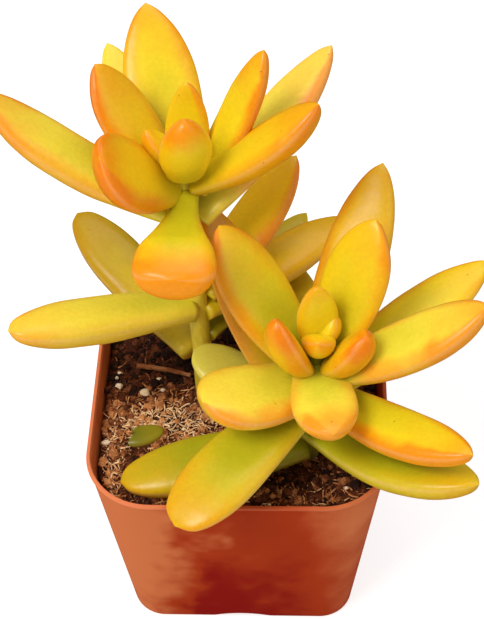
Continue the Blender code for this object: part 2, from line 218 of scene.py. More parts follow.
def settle(piece: bpy.types.Object, slot: str, *nodes: str) -> None:
    """Makes a piece ride the object's body, in place of CAD nodes.

    Args:
        piece: The finished piece.
        slot: The record's material slot that matches it; not used.
        nodes: The CAD nodes that it stands for.
    """
    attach(piece, BODY)
    if nodes:
        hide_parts(*nodes)
    log.info("%s: %d faces", piece.name, len(piece.data.polygons))


def meshed(name: str, shape: bmesh.types.BMesh) -> bpy.types.Mesh:
    """Ends a shape that was under construction as a mesh."""
    mesh = bpy.data.meshes.new(name)
    shape.to_mesh(mesh)
    shape.free()
    return mesh


def ringed_piece(name: str, rings: list[list[tuple]], low: tuple, high: tuple, material: bpy.types.Material,
                 sharp_above: float) -> bpy.types.Object:
    """Joins rings of points into one closed skin, with its faces turned outwards.

    Args:
        name: The piece's name.
        rings: Rings with the same number of points, in millimetres.
        low: The point that closes the first ring.
        high: The point that closes the last ring.
        material: The piece's material.
        sharp_above: The angle between faces from which an edge stays sharp.

    Returns:
        The object, at the origin.
    """
    shape = bmesh.new()
    corners = [shape.verts.new(Vector(point) * MM) for ring in rings for point in ring]
    bottom, top = (shape.verts.new(Vector(point) * MM) for point in (low, high))
    count = len(rings[0])
    for row in range(len(rings) - 1):
        for i in range(count):
            a, b = row * count + i, row * count + (i + 1) % count
            shape.faces.new([corners[k] for k in (a, b, b + count, a + count)])
    last = (len(rings) - 1) * count
    for i in range(count):
        following = (i + 1) % count
        shape.faces.new((bottom, corners[following], corners[i]))
        shape.faces.new((top, corners[last + i], corners[last + following]))
    bmesh.ops.remove_doubles(shape, verts=shape.verts, dist=1e-6)
    bmesh.ops.recalc_face_normals(shape, faces=shape.faces)
    mesh = meshed(name, shape)
    mesh.shade_smooth()
    mesh.set_sharp_from_angle(angle=math.radians(sharp_above))
    return placed(name, mesh, material)


def unit(vector: np.ndarray) -> np.ndarray:
    """The vector at length 1."""
    return vector / np.linalg.norm(vector)


def direction(azimuth: float, elevation: float) -> np.ndarray:
    """The unit vector of an azimuth from +X and an elevation, in degrees."""
    a, e = math.radians(azimuth), math.radians(elevation)
    return np.array((math.cos(a) * math.cos(e), math.sin(a) * math.cos(e), math.sin(e)))


def swelling(share: float, root: float, widest: float, tip_power: float, fullness: float,
             flare: float) -> float:
    """A profile that swells from its root value to 1 and closes at the tip.

    Args:
        share: The place along the leaf, from 0 at the root to 1 at the tip.
        root: The value at the root.
        widest: The place where it reaches 1.
        tip_power: How pointed the tip is: more is sharper.
        fullness: How long it stays wide past its widest place.
        flare: How late it swells.

    Returns:
        The value there.
    """
    if share < widest:
        return root + (1 - root) * math.sin(math.pi / 2 * share / widest) ** flare
    past = (share - widest) / (1 - widest)
    return (1 - past ** fullness) ** tip_power if past < 1 else 0.0


class Form(Enum):
    """Outlines of a leaf: root width, root thickness, widest at, tip power, thickest at, flare's delay."""

    LONG = (0.64, 0.66, 0.54, 0.74, 0.5, 1.3)
    YOUNG = (0.78, 0.80, 0.38, 0.74, 0.4, 1.3)
    BROAD = (0.72, 0.75, 0.50, 0.66, 0.5, 1.3)
    BLUNT = (0.72, 0.72, 0.60, 0.52, 0.5, 1.3)
    NECKED = (0.48, 0.56, 0.60, 0.52, 0.5, 1.1)
    SPOON = (0.60, 0.66, 0.66, 0.44, 0.55, 1.3)
    WEDGE = (0.35, 0.56, 0.84, 0.42, 0.78, 2.6)
    OLD = (0.12, 0.20, 0.50, 0.50, 0.5, 1.0)

    def width_at(self, share: float) -> float:
        """The half width at a share of the leaf's length, as a share of the greatest."""
        root, _, widest, tip_power, _, flare = self.value
        return swelling(share, root, widest, tip_power, 2.1, flare)

    def thickness_at(self, share: float) -> float:
        """The thickness at a share of the leaf's length, as a share of the greatest."""
        return swelling(share, self.value[1], self.value[4], 0.6, 2.6, 1.3)


@dataclass(frozen=True)
class Tone:
    """Colours of one leaf, as sRGB hex, and the record's material slot that is nearest to them."""

    body: str
    root: str
    flush: str
    slot: str


class LeafTone(Enum):
    """The leaf colours that the plant shows, and one with painted shade."""

    GOLD = Tone("#ECD01A", "#C6BC1A", "#EE9206", "leaf_gold")
    AMBER = Tone("#EDC016", "#D8C31A", "#E88004", "leaf_orange")
    PALE = Tone("#F2DF44", "#CFCB30", "#F09C20", "leaf_pale")
    LEMON = Tone("#FBE650", "#E8DC40", "#F2A040", "leaf_pale")
    GREEN = Tone("#D2C01A", "#ADAC18", "#E89C10", "leaf_green")
    OLIVE = Tone("#C8B01A", "#9E9818", "#CC8C10", "leaf_olive")
    OCHRE = Tone("#DDB41C", "#BDA61C", "#D88410", "leaf_gold")
    # SHADED is painted light and shade: its olive blade is the shadow that the rosette above casts, and its
    # bright yellow root the part in the light.
    SHADED = Tone("#BCA012", "#E2C838", "#B8780C", "leaf_olive")
    CELADON = Tone("#CEC850", "#B0B448", "#D8C032", "leaf_pale")
    WITHERED = Tone("#938A18", "#77761A", "#6E5A12", "leaf_olive")


@dataclass(frozen=True)
class Leaf:
    """One leaf: where it stands, its form, and where the sun has flushed it."""

    stem: str
    rise: float
    azimuth: float
    elevation: float
    length: float
    width: float
    thickness: float
    curl: float = 10.0
    roll: float = 0.0
    form: Form = Form.LONG
    tone: LeafTone = LeafTone.GOLD
    flush: tuple[float, float, float] = (0.5, 0.3, 0.3)  # how strong at the tip, the left and the right side
    green_to: float = 0.3
    droop: float = 0.0

    def chord(self) -> np.ndarray:
        """The unit vector from root to tip."""
        return direction(self.azimuth, self.elevation)

    def face(self) -> np.ndarray:
        """The unit vector out of the middle of the upper face.

        Returns:
            The vector, which stands square on the chord and leans by the leaf's roll.
        """
        chord = self.chord()
        turn = math.radians(self.azimuth)
        upright = np.cross(chord, (-math.sin(turn), math.cos(turn), 0.0))
        upright *= 1 if upright[2] > 0 else -1
        roll = math.radians(self.roll)
        return math.cos(roll) * upright + math.sin(roll) * np.cross(chord, upright)

    def sag(self) -> float:
        """How far the middle of the leaf hangs under its chord."""
        return self.length * math.tan(math.radians(self.curl) / 4) / 2


@dataclass(frozen=True)
class WaxyLeafSkin:
    """Living succulent leaf: a smooth waxy skin over wet green flesh that light passes into.

    The eye sees soft broad highlights on the wax, a warm glow inside the thin edges, and a flush
    that wanders in from tip and sides. A pale painted sheen runs along the margins, and a painted
    shade darkens the lower face. The body, root and flush colours, the reach of each and the reach
    of that shade come from the leaf's own attributes.
    """

    # Painted sheen: rim is the pale colour laid along the margins of both faces.
    rim: str = "#F5BE86"
    # Painted shade: the darker, browner colour laid over the lower face.
    lower_face_shade: str = "#CB9016"
    dirt: str = "#5A3A16"
    patch_mm: float = 9.0
    grain_mm: float = 0.7
    dirt_every_mm: float = 4.5
    roughness: float = 0.33
    wander: tuple[float, float] = (0.55, 0.9)  # how far the patches push a colour's edge, along and across
    tip_flush: tuple[float, float] = (0.58, 1.04)  # where along the leaf it starts and is full
    side_flush: tuple[float, float] = (0.5, 1.02)  # where between the middle line and the rim
    side_fade: tuple[float, float] = (0.08, 0.4)  # where along the leaf the side flush begins
    sheen_band: tuple[float, float] = (0.975, 1.0)
    green_fade: tuple[float, float] = (0.5, -0.2)  # the root's green, from none to all, past its own reach
    lower_face_shade_band: tuple[float, float] = (0.05, -0.8)  # the painted shade of the lower face, by the place from face to face

    def make(self) -> bpy.types.Material:
        """Builds the material.

        Returns:
            The leaf skin material.
        """
        material, shader, add, place = new_material("waxy_succulent_leaf_skin", {
            # The flesh scatters red and yellow furthest, which gives the soft glow at thin edges.
            "Subsurface Weight": 0.12, "Subsurface Radius": (1.0, 0.7, 0.2), "Subsurface Scale": 1.8 * MM,
            "Roughness": self.roughness, "Specular IOR Level": 0.4})
        body, root, flush = (add("Attribute", attribute_name=name)
                             for name in ("body_tone", "root_tone", "flush_tone"))
        where, reach = (add("Attribute", attribute_name=name, output="Vector")
                        for name in ("leaf_place", "flush_reach"))
        green, tint = (add("Attribute", attribute_name=name, output="Fac")
                       for name in ("green_to", "lower_face_shade_amount"))
        along, across, above = add("SeparateXYZ", where).node.outputs
        at_tip, at_left, at_right = add("SeparateXYZ", reach).node.outputs
        patches = add("TexNoise", {"Vector": place, "Scale": 1 / (self.patch_mm * MM), "Detail": 3.0,
                                   "Roughness": 0.55})
        drift = add("Math SUBTRACT", patches, 0.5)
        wander = add("Math MULTIPLY_ADD", drift, self.wander[0], along)
        sway = add("Math MULTIPLY_ADD", drift, self.wander[1], across)

        # The green of the root runs furthest up the middle.
        middle = add("Math MULTIPLY_ADD", add("Math POWER", across, 2.0), 0.45, wander)
        green_mask = add("MapRange SMOOTHSTEP", add("Math SUBTRACT", middle, green), *self.green_fade)
        base = add("Mix", green_mask, {6: body, 7: root}, **COLOUR)
        # Painted shade: the lower face is darkened, as far as the leaf's own amount reaches.
        below = add("MapRange SMOOTHSTEP", above, *self.lower_face_shade_band, 0.0, tint)
        base = add("Mix", below, {6: base, 7: linear(self.lower_face_shade)}, **COLOUR)

        tip = add("Math MULTIPLY", add("MapRange SMOOTHSTEP", wander, *self.tip_flush), at_tip)
        faded = add("MapRange SMOOTHSTEP", wander, *self.side_fade)
        sides = []
        for edge, share in ((-1.0, at_left), (1.0, at_right)):
            side = add("MapRange SMOOTHSTEP", add("Math MULTIPLY", sway, edge), *self.side_flush)
            sides.append(add("Math MULTIPLY", add("Math MULTIPLY", side, share), faded))
        sun = add("Math ADD", add("Math MAXIMUM", *sides), tip, use_clamp=True)
        base = add("Mix", sun, {6: base, 7: flush}, **COLOUR)

        # Painted sheen: a pale line laid along the margins.
        rim = add("MapRange SMOOTHSTEP", add("Math ABSOLUTE", across), *self.sheen_band, 0.0, 0.22)
        base = add("Mix", rim, {6: base, 7: linear(self.rim)}, **COLOUR)
        grain = add("TexNoise", {"Vector": place, "Scale": 1 / (self.grain_mm * MM), "Detail": 2.0})
        mottle = add("MapRange", grain, 0.3, 0.7, 0.96, 1.04)
        speck = add("TexVoronoi", {"Vector": place, "Scale": 1 / (self.dirt_every_mm * MM)})
        dot = add("MapRange", speck, 0.045, 0.02, 0.0, 0.6)
        base = add("Mix MULTIPLY", 1.0, {6: base, 7: mottle}, **COLOUR)
        base = add("Mix", dot, {6: base, 7: linear(self.dirt)}, **COLOUR)
        fine = add("Bump", {"Height": grain, "Strength": 0.07, "Distance": 0.1 * MM})
        soft = add("Bump", {"Height": patches, "Strength": 0.5, "Distance": 0.7 * MM, "Normal": fine})
        feed(shader, {"Base Color": base, "Normal": soft})
        return material


@dataclass(frozen=True)
class MottledSurface:
    """A rough natural surface in three colours, mixed by noise at two sizes, with fine bumps.

    The eye sees broken, dry colour with hardly a highlight, as on earth, husk or bark.
    """

    name: str
    dark: str
    middle: str
    light: str
    patch_mm: float
    grain_mm: float
    roughness: float
    bump_mm: float
    by_grain: bool = False  # whether each grain's own grain_tone attribute joins the mix
    glow: float = 0.0
    stretch: tuple[float, float, float] = (1.0, 1.0, 1.0)

    def make(self) -> bpy.types.Material:
        """Builds the material.

        Returns:
            The material of this name.
        """
        material, shader, add, place = new_material(self.name, {
            "Roughness": self.roughness, "Specular IOR Level": 0.3, "Subsurface Weight": self.glow,
            "Subsurface Radius": (1.0, 0.7, 0.3), "Subsurface Scale": 1.0 * MM})
        stretched = add("Mapping", {"Vector": place, "Scale": self.stretch})
        patches = add("TexNoise", {"Vector": stretched, "Scale": 1 / (self.patch_mm * MM), "Detail": 4.0,
                                   "Roughness": 0.6})
        grain = add("TexNoise", {"Vector": stretched, "Scale": 1 / (self.grain_mm * MM), "Detail": 4.0,
                                 "Roughness": 0.65})
        mix = add("Math MULTIPLY_ADD", grain, 0.45, add("Math MULTIPLY", patches, 0.55))
        if self.by_grain:
            own = add("Attribute", attribute_name="grain_tone", output="Fac")
            mix = add("Math SUBTRACT", add("Math MULTIPLY_ADD", own, 0.62, mix), 0.31)
        ramp = add("ValToRGB", mix)
        stops = ramp.node.color_ramp.elements
        stops[0].position, stops[0].color = 0.3, linear(self.dark)
        stops[1].position, stops[1].color = 0.72, linear(self.light)
        stops.new(0.5).color = linear(self.middle)
        bump = add("Bump", {"Height": grain, "Strength": 0.7, "Distance": self.bump_mm * MM})
        feed(shader, {"Base Color": ramp, "Normal": bump})
        return material


@dataclass(frozen=True)
class PotPlastic:
    """Injection-moulded polypropylene in terracotta red, with dust on it.

    The eye sees a satin wall with hardly any reflection, deep red low in the middle of each side,
    and paler, matter and more orange where dust and scuffs lie and towards the top and the corners.
    Painted light makes its left side paler, and a painted highlight lies along its bead.
    """

    body: str = "#A43000"
    deep: str = "#8A0A00"
    dust: str = "#CC7444"
    scuff: str = "#C0602E"
    # Painted highlight: bead is the pale pink laid on the rim's bead.
    bead: str = "#E28258"
    roughness: float = 0.52
    cloud_mm: float = 17.0
    stain_mm: float = 4.5
    scuff_mm: float = 7.0
    bead_from: float = 45.2  # the height where the rim's bead starts, and where it is full
    bead_full: float = 46.0
    height_ramp: tuple[float, ...] = (6.0, 42.0, -0.2, 0.08)  # two heights, and how much paleness each adds
    corner_ramp: tuple[float, ...] = (6.0, 23.0, -0.1, 0.3)  # two distances from a side's middle, and the same
    left_light_from: float = -19.0  # the x beyond which the left side has all of its painted light
    left_light_amount: float = 0.36
    left_light_ragged: float = 60.0  # how far clouds shift that painted light's edge

    def make(self) -> bpy.types.Material:
        """Builds the material.

        Returns:
            The pot's plastic.
        """
        material, shader, add, place = new_material("terracotta_polypropylene", {
            "IOR": 1.49, "Specular IOR Level": 0.06})
        x, y, z = add("SeparateXYZ", place).node.outputs
        cloud = add("TexNoise", {"Vector": place, "Scale": 1 / (self.cloud_mm * MM), "Detail": 3.0,
                                 "Roughness": 0.6})
        stain = add("TexNoise", {"Vector": place, "Scale": 1 / (self.stain_mm * MM), "Detail": 5.0,
                                 "Roughness": 0.62})
        # Paler high on the wall, darker towards the bottom.
        low, high, less, more = self.height_ramp
        by_height = add("MapRange SMOOTHSTEP", z, low * MM, high * MM, less, more)
        # Paler by the corners, darker across the middle of each side.
        from_middle = add("Math MINIMUM", add("Math ABSOLUTE", x), add("Math ABSOLUTE", y))
        near, far, less, more = self.corner_ramp
        paleness = add("MapRange SMOOTHSTEP", from_middle, near * MM, far * MM, less, more)
        # Painted light: the left side is paler, as light falls on it from the left.
        drift = add("Math MULTIPLY_ADD", add("Math SUBTRACT", cloud, 0.5), -self.left_light_ragged * MM, x)
        painted_left_light = add("MapRange SMOOTHSTEP", drift, 0.0, self.left_light_from * MM, 0.0, self.left_light_amount)
        paleness = add("Math ADD", paleness, painted_left_light)
        dust_and_light = add("Math ADD", add("Math MULTIPLY_ADD", cloud, 0.55, by_height), paleness)
        dust_and_light = add("Math MULTIPLY_ADD", stain, 0.22, dust_and_light)
        # The paleness mixes real dust and stains with the painted light on the left side.
        deep = add("MapRange SMOOTHSTEP", dust_and_light, 0.36, 0.06)
        dust = add("MapRange SMOOTHSTEP", dust_and_light, 0.36, 0.86, 0.0, 0.85)
        base = add("Mix", deep, {6: linear(self.body), 7: linear(self.deep)}, **COLOUR)
        base = add("Mix", dust, {6: base, 7: linear(self.dust)}, **COLOUR)
        # Painted highlight: the bead is laid paler pink, most of all on the painted-lit left side.
        bead = add("MapRange", z, self.bead_from * MM, self.bead_full * MM, 0.0, 1.0)
        bead = add("Math MULTIPLY", bead, add("Math MULTIPLY_ADD", painted_left_light, 1.6, 0.3))
        base = add("Mix", bead, {6: base, 7: linear(self.bead)}, **COLOUR)
        sideways = add("Mapping", {"Vector": place, "Scale": (1.0, 1.0, 9.0)})
        line = add("TexNoise", {"Vector": sideways, "Scale": 1 / (self.scuff_mm * MM), "Detail": 6.0,
                                "Roughness": 0.7})
        rubbed = add("MapRange", line, 0.62, 0.78, 0.0, 0.22)
        base = add("Mix", rubbed, {6: base, 7: linear(self.scuff)}, **COLOUR)
        rough = add("MapRange", dust_and_light, 0.1, 0.8, self.roughness - 0.06, self.roughness + 0.22)
        ripple = add("Bump", {"Height": cloud, "Strength": 0.35, "Distance": 0.5 * MM})
        fine = add("Bump", {"Height": stain, "Strength": 0.2, "Distance": 0.1 * MM, "Normal": ripple})
        feed(shader, {"Base Color": base, "Roughness": rough, "Normal": fine})
        return material


@dataclass(frozen=True)
class Stem:
    """A leafy stem along one cubic curve, in millimetres."""

    foot: tuple[float, float, float]
    foot_handle: tuple[float, float, float]
    top_handle: tuple[float, float, float]
    top: tuple[float, float, float]
    foot_radius: float
    top_radius: float
    soil_level: float = 42.0
    samples: int = 400
    probe: float = 0.2  # how far before and after a place the stem's direction is taken

    def at(self, rise: float) -> tuple[np.ndarray, np.ndarray, float]:
        """The stem at a distance from the soil along it.

        Args:
            rise: The distance in millimetres.

        Returns:
            The centre, the direction and the radius there.
        """
        t = np.linspace(0, 1, self.samples)[:, None]
        a, b, c, d = (np.array(p, float) for p in (self.foot, self.foot_handle, self.top_handle, self.top))
        points = (1 - t) ** 3 * a + 3 * (1 - t) ** 2 * t * b + 3 * (1 - t) * t ** 2 * c + t ** 3 * d
        along = np.concatenate(([0.0], np.cumsum(np.linalg.norm(np.diff(points, axis=0), axis=1))))
        along = along - np.interp(self.soil_level, points[:, 2], along)
        inside = min(rise, along[-1] - self.probe)
        before, centre, after = (
            np.array([np.interp(inside + step, along, points[:, axis]) for axis in range(3)])
            for step in (-self.probe, 0.0, self.probe))
        centre = centre + unit(after - before) * (rise - inside)
        share = (rise - along[0]) / (along[-1] - along[0])
        return centre, unit(after - before), self.foot_radius + (self.top_radius - self.foot_radius) * share


class LeafGrower:
    """Grows leaves with Geometry Nodes: one tree for each form, with named inputs for the sizes."""

    RINGS = 44
    SIDES = 36
    CROWDING = 1.35  # how far the rings crowd towards the tip, where the outline turns fastest
    PROFILE_STEPS = 24
    STEM_GAP = 0.3  # mm between a leaf's root and its stem in the solids
    SUNK = 1.7  # mm that the root goes into the stem, past that gap
    UPPER_SHARE = 0.36  # how much of the thickness lies over the leaf's middle
    BEND_FROM = 0.6  # the share of the length from which the droop bends it
    LUMP_MM = 11
    SEED_STEP = 3.7  # how far apart the noise of two neighbouring seeds is
    LOWER_FACE_SHADE = 0.6  # how far the painted shade of the lower face covers a grown leaf and a young one
    YOUNG_LOWER_FACE_SHADE = 0.15

    def __init__(self, stems: dict[str, Stem], skin: bpy.types.Material) -> None:
        """Keeps the stems and makes the trees."""
        self.stems = stems
        self.skin = skin
        self.trees = {form: self.make_tree(form) for form in Form}

    def make_tree(self, form: Form) -> bpy.types.NodeTree:
        """Builds the tree for one form.

        Args:
            form: The outline that its two profile curves follow.

        Returns:
            The geometry tree.
        """
        tree, add, take = new_tree(f"succulent leaf, {form.name.lower()}", {
            "Root": ("Vector", None), "Chord": ("Vector", None), "Face": ("Vector", None),
            "Length": ("Float", 0.03), "Width": ("Float", 0.011), "Thickness": ("Float", 0.006),
            "Sag": ("Float", 0.001), "Droop": ("Float", 0.0), "Hollow": ("Float", 0.22),
            "Wobble": ("Float", 0.0006), "Seed": ("Float", 0.0), "Rings": ("Int", self.RINGS),
            "Sides": ("Int", self.SIDES), "Body Tone": ("Color", None), "Root Tone": ("Color", None),
            "Flush Tone": ("Color", None), "Flush Reach": ("Vector", None), "Green To": ("Float", 0.3),
            "Lower Face Shade": ("Float", 0.5), "Skin": ("Material", None)})
        tube = add("MeshCylinder", {"Vertices": take["Sides"], "Side Segments": take["Rings"], "Radius": 1.0,
                                    "Depth": 1.0}, fill_type="TRIANGLE_FAN")
        x, y, z = add("SeparateXYZ", add("InputPosition")).node.outputs
        share = add("Math SUBTRACT", 1.0, add("Math POWER", add("Math SUBTRACT", 0.5, z), self.CROWDING))
        sizes = []
        for profile, size in ((form.width_at, take["Width"]), (form.thickness_at, take["Thickness"])):
            curve = add("FloatCurve", {"Value": share})
            mapping = curve.node.mapping
            points = mapping.curves[0].points
            points[0].location, points[1].location = (0.0, profile(0.0)), (1.0, profile(1.0))
            for step in range(1, self.PROFILE_STEPS):
                points.new(step / self.PROFILE_STEPS, profile(step / self.PROFILE_STEPS))
            for point in points:
                point.handle_type = "AUTO_CLAMPED"
            mapping.update()
            sizes.append(add("Math MULTIPLY", curve, size))
        width, thickness = sizes
        aside = add("Math MULTIPLY", add("Math MULTIPLY", x, width), 0.5)
        over, under = add("Math MAXIMUM", y, 0.0), add("Math MINIMUM", y, 0.0)
        # The upper face is hollow along its middle.
        dip = add("Math MULTIPLY", add("Math POWER", over, 2.0), take["Hollow"])
        over = add("Math MULTIPLY", over, add("Math SUBTRACT", 1.0, dip))
        over = add("Math MULTIPLY", over, self.UPPER_SHARE)
        lift = add("Math MULTIPLY", add("Math MULTIPLY_ADD", under, 1 - self.UPPER_SHARE, over), thickness)

        # The middle line is a parabola that hangs under the chord.
        arc = add("Math MULTIPLY", share, add("Math SUBTRACT", 1.0, share))
        arc = add("Math MULTIPLY", add("Math MULTIPLY", arc, take["Sag"]), -4.0)
        bend = add("MapRange SMOOTHSTEP", share, self.BEND_FROM, 1.0)
        arc = add("Math SUBTRACT", arc, add("Math MULTIPLY", bend, take["Droop"]))
        reach = add("Math MULTIPLY", share, take["Length"])
        slope = add("Math SUBTRACT", add("Math MULTIPLY", share, 2.0), 1.0)
        slope = add("Math MULTIPLY", add("Math MULTIPLY", slope, take["Sag"]), 4.0)
        forward = add("VectorMath SCALE", take["Chord"], {"Scale": take["Length"]})
        rising = add("VectorMath SCALE", take["Face"], {"Scale": slope})
        along = add("VectorMath NORMALIZE", add("VectorMath ADD", forward, rising))
        across = add("VectorMath CROSS_PRODUCT", take["Chord"], take["Face"])
        normal = add("VectorMath CROSS_PRODUCT", across, along)
        place = take["Root"]
        for way, size in ((take["Chord"], reach), (take["Face"], arc), (across, aside), (normal, lift)):
            place = add("VectorMath ADD", place, add("VectorMath SCALE", way, {"Scale": size}))

        leaf = tube
        for name, kind, value in (
                ("leaf_place", "FLOAT_VECTOR", add("CombineXYZ", share, x, y)),
                ("flush_reach", "FLOAT_VECTOR", take["Flush Reach"]),
                ("green_to", "FLOAT", take["Green To"]), ("lower_face_shade_amount", "FLOAT", take["Lower Face Shade"]),
                ("body_tone", "FLOAT_COLOR", take["Body Tone"]),
                ("root_tone", "FLOAT_COLOR", take["Root Tone"]),
                ("flush_tone", "FLOAT_COLOR", take["Flush Tone"])):
            leaf = add("StoreNamedAttribute", leaf, {"Name": name, "Value": value}, data_type=kind,
                       domain="POINT")
        leaf = add("MergeByDistance", add("SetPosition", leaf, {"Position": place}), {"Distance": 2e-5})
        lumps = add("TexNoise", {"Scale": 1 / (self.LUMP_MM * MM), "W": take["Seed"], "Detail": 1.0},
                    noise_dimensions="4D")
        end_tree(add, uneven(add, add("FlipFaces", leaf), lumps, take["Wobble"]), take["Skin"])
        return tree

    def root_of(self, leaf: Leaf) -> np.ndarray:
        """Finds where a leaf's root stands on its stem.

        Args:
            leaf: The leaf.

        Returns:
            The place in millimetres, so far out that its tilted root clears the stem.
        """
        centre, along, radius = self.stems[leaf.stem].at(leaf.rise)
        outwards = direction(leaf.azimuth, 0)
        outwards = unit(outwards - outwards.dot(along) * along)
        lean = abs(direction(leaf.azimuth, leaf.elevation - leaf.curl / 2).dot(along))
        return centre + outwards * (radius + self.STEM_GAP + lean * leaf.thickness * leaf.form.value[1] / 2)

    def grow(self, name: str, leaf: Leaf, root: np.ndarray | None = None, seed: int = 0) -> bpy.types.Object:
        """Grows one leaf.

        Args:
            name: The piece's name.
            leaf: Its place, form and colours.
            root: Its root in millimetres, where that isn't on the stem's side.
            seed: What sets its small unevenness.

        Returns:
            The leaf as a plain mesh.
        """
        root = self.root_of(leaf) if root is None else root
        start = root - direction(leaf.azimuth, leaf.elevation - leaf.curl / 2) * self.SUNK
        tip = root + leaf.chord() * leaf.length
        chord = unit(tip - start)
        tone = leaf.tone.value
        return grow(name, self.trees[leaf.form], {
            "Root": tuple(start * MM), "Chord": tuple(chord),
            "Face": tuple(unit(leaf.face() - leaf.face().dot(chord) * chord)),
            "Length": float(np.linalg.norm(tip - start)) * MM, "Width": leaf.width * MM,
            "Thickness": leaf.thickness * MM, "Sag": leaf.sag() * MM, "Droop": leaf.droop * MM,
            "Seed": seed * self.SEED_STEP, "Body Tone": linear(tone.body), "Root Tone": linear(tone.root),
            "Flush Tone": linear(tone.flush), "Flush Reach": leaf.flush, "Green To": leaf.green_to,
            "Lower Face Shade": self.YOUNG_LOWER_FACE_SHADE if leaf.form is Form.YOUNG else self.LOWER_FACE_SHADE,
            "Skin": self.skin})


# Each row holds the leaf's rise, azimuth, elevation, length, width, thickness, curl, roll, form, tone, flush
# and green_to, and its droop where it has one.
UPPER_LEAVES = tuple(
    Leaf("upper", *row) for row in (
        (44.8, 105, 36, 34, 13.5, 5.5, 10, 0, Form.LONG, LeafTone.GOLD, (0.6, 0.45, 0.5), 0.3),
        (41.8, 117, 21.5, 35, 10, 5, 15, 0, Form.LONG, LeafTone.PALE, (0.1, 0.1, 0.1), 0.3),
        (47.8, 147.9, 53.2, 23.5, 11, 5.5, 15, 0, Form.LONG, LeafTone.AMBER, (0.5, 0.9, 0.2), 0.3),
        (42.5, 172.4, 35.3, 37.3, 10.5, 6.8, 28, 0, Form.BLUNT, LeafTone.PALE, (0.6, 0.7, 0.9), 0.4),
        (47.4, -136, 48.6, 21.4, 13.6, 7, 15, -38, Form.NECKED, LeafTone.AMBER, (0.8, 0.9, 0.6), 0.15),
        (49.7, 83, 77, 15.1, 7.8, 3.8, 10, 0, Form.YOUNG, LeafTone.GOLD, (0.3, 0.1, 0.6), 0.1),
        (52.6, -75, 84, 11.6, 9.2, 5.4, 15, 0, Form.YOUNG, LeafTone.GOLD, (1.0, 0.2, 0.2), 0.05),
        (46.4, 34.4, 59.2, 26.5, 8, 4.8, 15, 0, Form.LONG, LeafTone.GOLD, (0.8, 0.05, 1.0), 0.1),
        (40.5, 43, 32, 37, 10, 6, 10, 0, Form.LONG, LeafTone.LEMON, (0.6, 0.1, 0.8), 0.3),
        (48, -3.4, 41.2, 27.1, 10, 6.5, 20, 0, Form.LONG, LeafTone.AMBER, (0.5, 0.8, 0.5), 0.3),
        (44.9, -92.2, 14.6, 21.7, 14.2, 8, 40, 0, Form.WEDGE, LeafTone.GOLD, (1.0, 0.4, 0.4), 0.6, 2.6),
        (24, 52, 26, 29.5, 10, 5, 15, 0, Form.LONG, LeafTone.AMBER, (0.2, 0.0, 0.8), 0.3),
        (20.5, 40, 1, 34, 10, 6.8, 5, 0, Form.LONG, LeafTone.AMBER, (0.2, 0.3, 0.1), 0.3),
        (14.5, 57, 3, 34, 9, 5, 5, 0, Form.LONG, LeafTone.OLIVE, (0.1, 0.1, 0.1), 0.3),
        (22, -154, 15, 34, 9.5, 8, 0, 0, Form.BLUNT, LeafTone.PALE, (0.5, 0.3, 0.5), 0.15),
        (11, 133, 14, 35.5, 11, 7.5, 5, 0, Form.BLUNT, LeafTone.SHADED, (0.4, 0.3, 0.1), 0.3),
    ))

LOWER_LEAVES = tuple(
    Leaf("lower", *row) for row in (
        (23, 142.6, 50.1, 28, 13.5, 6, 15, 0, Form.LONG, LeafTone.GOLD, (0.5, 0.8, 0.35), 0.5),
        (13, 125.4, 38.8, 39, 12.4, 6, 10, 0, Form.YOUNG, LeafTone.OCHRE, (0.6, 0.8, 0.3), 0.3),
        (24.4, 52, 60.5, 25.5, 12.5, 5.5, 10, 0, Form.LONG, LeafTone.GOLD, (0.5, 0.1, 0.6), 0.3),
        (20.2, 69, 35.5, 38, 12, 6.5, 10, 0, Form.LONG, LeafTone.OCHRE, (0.3, 0.7, 0.2), 0.3),
        (16.6, 35, 15.9, 38.1, 11, 6.3, 0, 0, Form.LONG, LeafTone.GOLD, (0.3, 0.6, 0.3), 0.4),
        (22.3, -5, 37, 32, 12, 6.5, 18, 0, Form.LONG, LeafTone.PALE, (0.8, 0.6, 0.8), 0.4),
        (17.5, -40.3, 16.7, 33.5, 10, 7, 24, 0, Form.LONG, LeafTone.GOLD, (0.6, 0.8, 1.0), 0.4),
        (9.2, -37.1, 16.9, 34.6, 13, 7, 25, -12, Form.LONG, LeafTone.GREEN, (0.3, 0.1, 0.1), 0.7),
        (22.6, -81.6, 16.9, 18.6, 11.5, 6, 20, 0, Form.BROAD, LeafTone.PALE, (0.9, 0.6, 0.7), 0.35),
        (19.5, -147, 22, 22, 14.4, 7.2, 20, 0, Form.BLUNT, LeafTone.PALE, (0.2, 0.9, 0.4), 0.35),
        (15.5, -132, -7, 33, 12.8, 6.5, -20, 0, Form.SPOON, LeafTone.GREEN, (0.6, 0.4, 0.2), 0.5),
        (4.2, -166, -4.5, 33, 11.5, 8.4, 0, 0, Form.BLUNT, LeafTone.GREEN, (0.4, 0.1, 0.1), 0.8),
        (25.5, -149, 70.5, 12.9, 9.2, 5.6, 15, 0, Form.YOUNG, LeafTone.AMBER, (0.9, 0.7, 0.2), 0.1),
        (26, -27.8, 59, 10.7, 9.4, 6, 15, 0, Form.YOUNG, LeafTone.AMBER, (0.9, 0.3, 0.5), 0.1),
        (9.2, 154.3, 19, 22.2, 10.4, 5.5, 0, 0, Form.BLUNT, LeafTone.CELADON, (0.1, 0.1, 0.1), 0.3),
        (12.5, 94, 3, 32, 9, 5, 10, 0, Form.LONG, LeafTone.OLIVE, (0.1, 0.1, 0.1), 0.4),
    ))


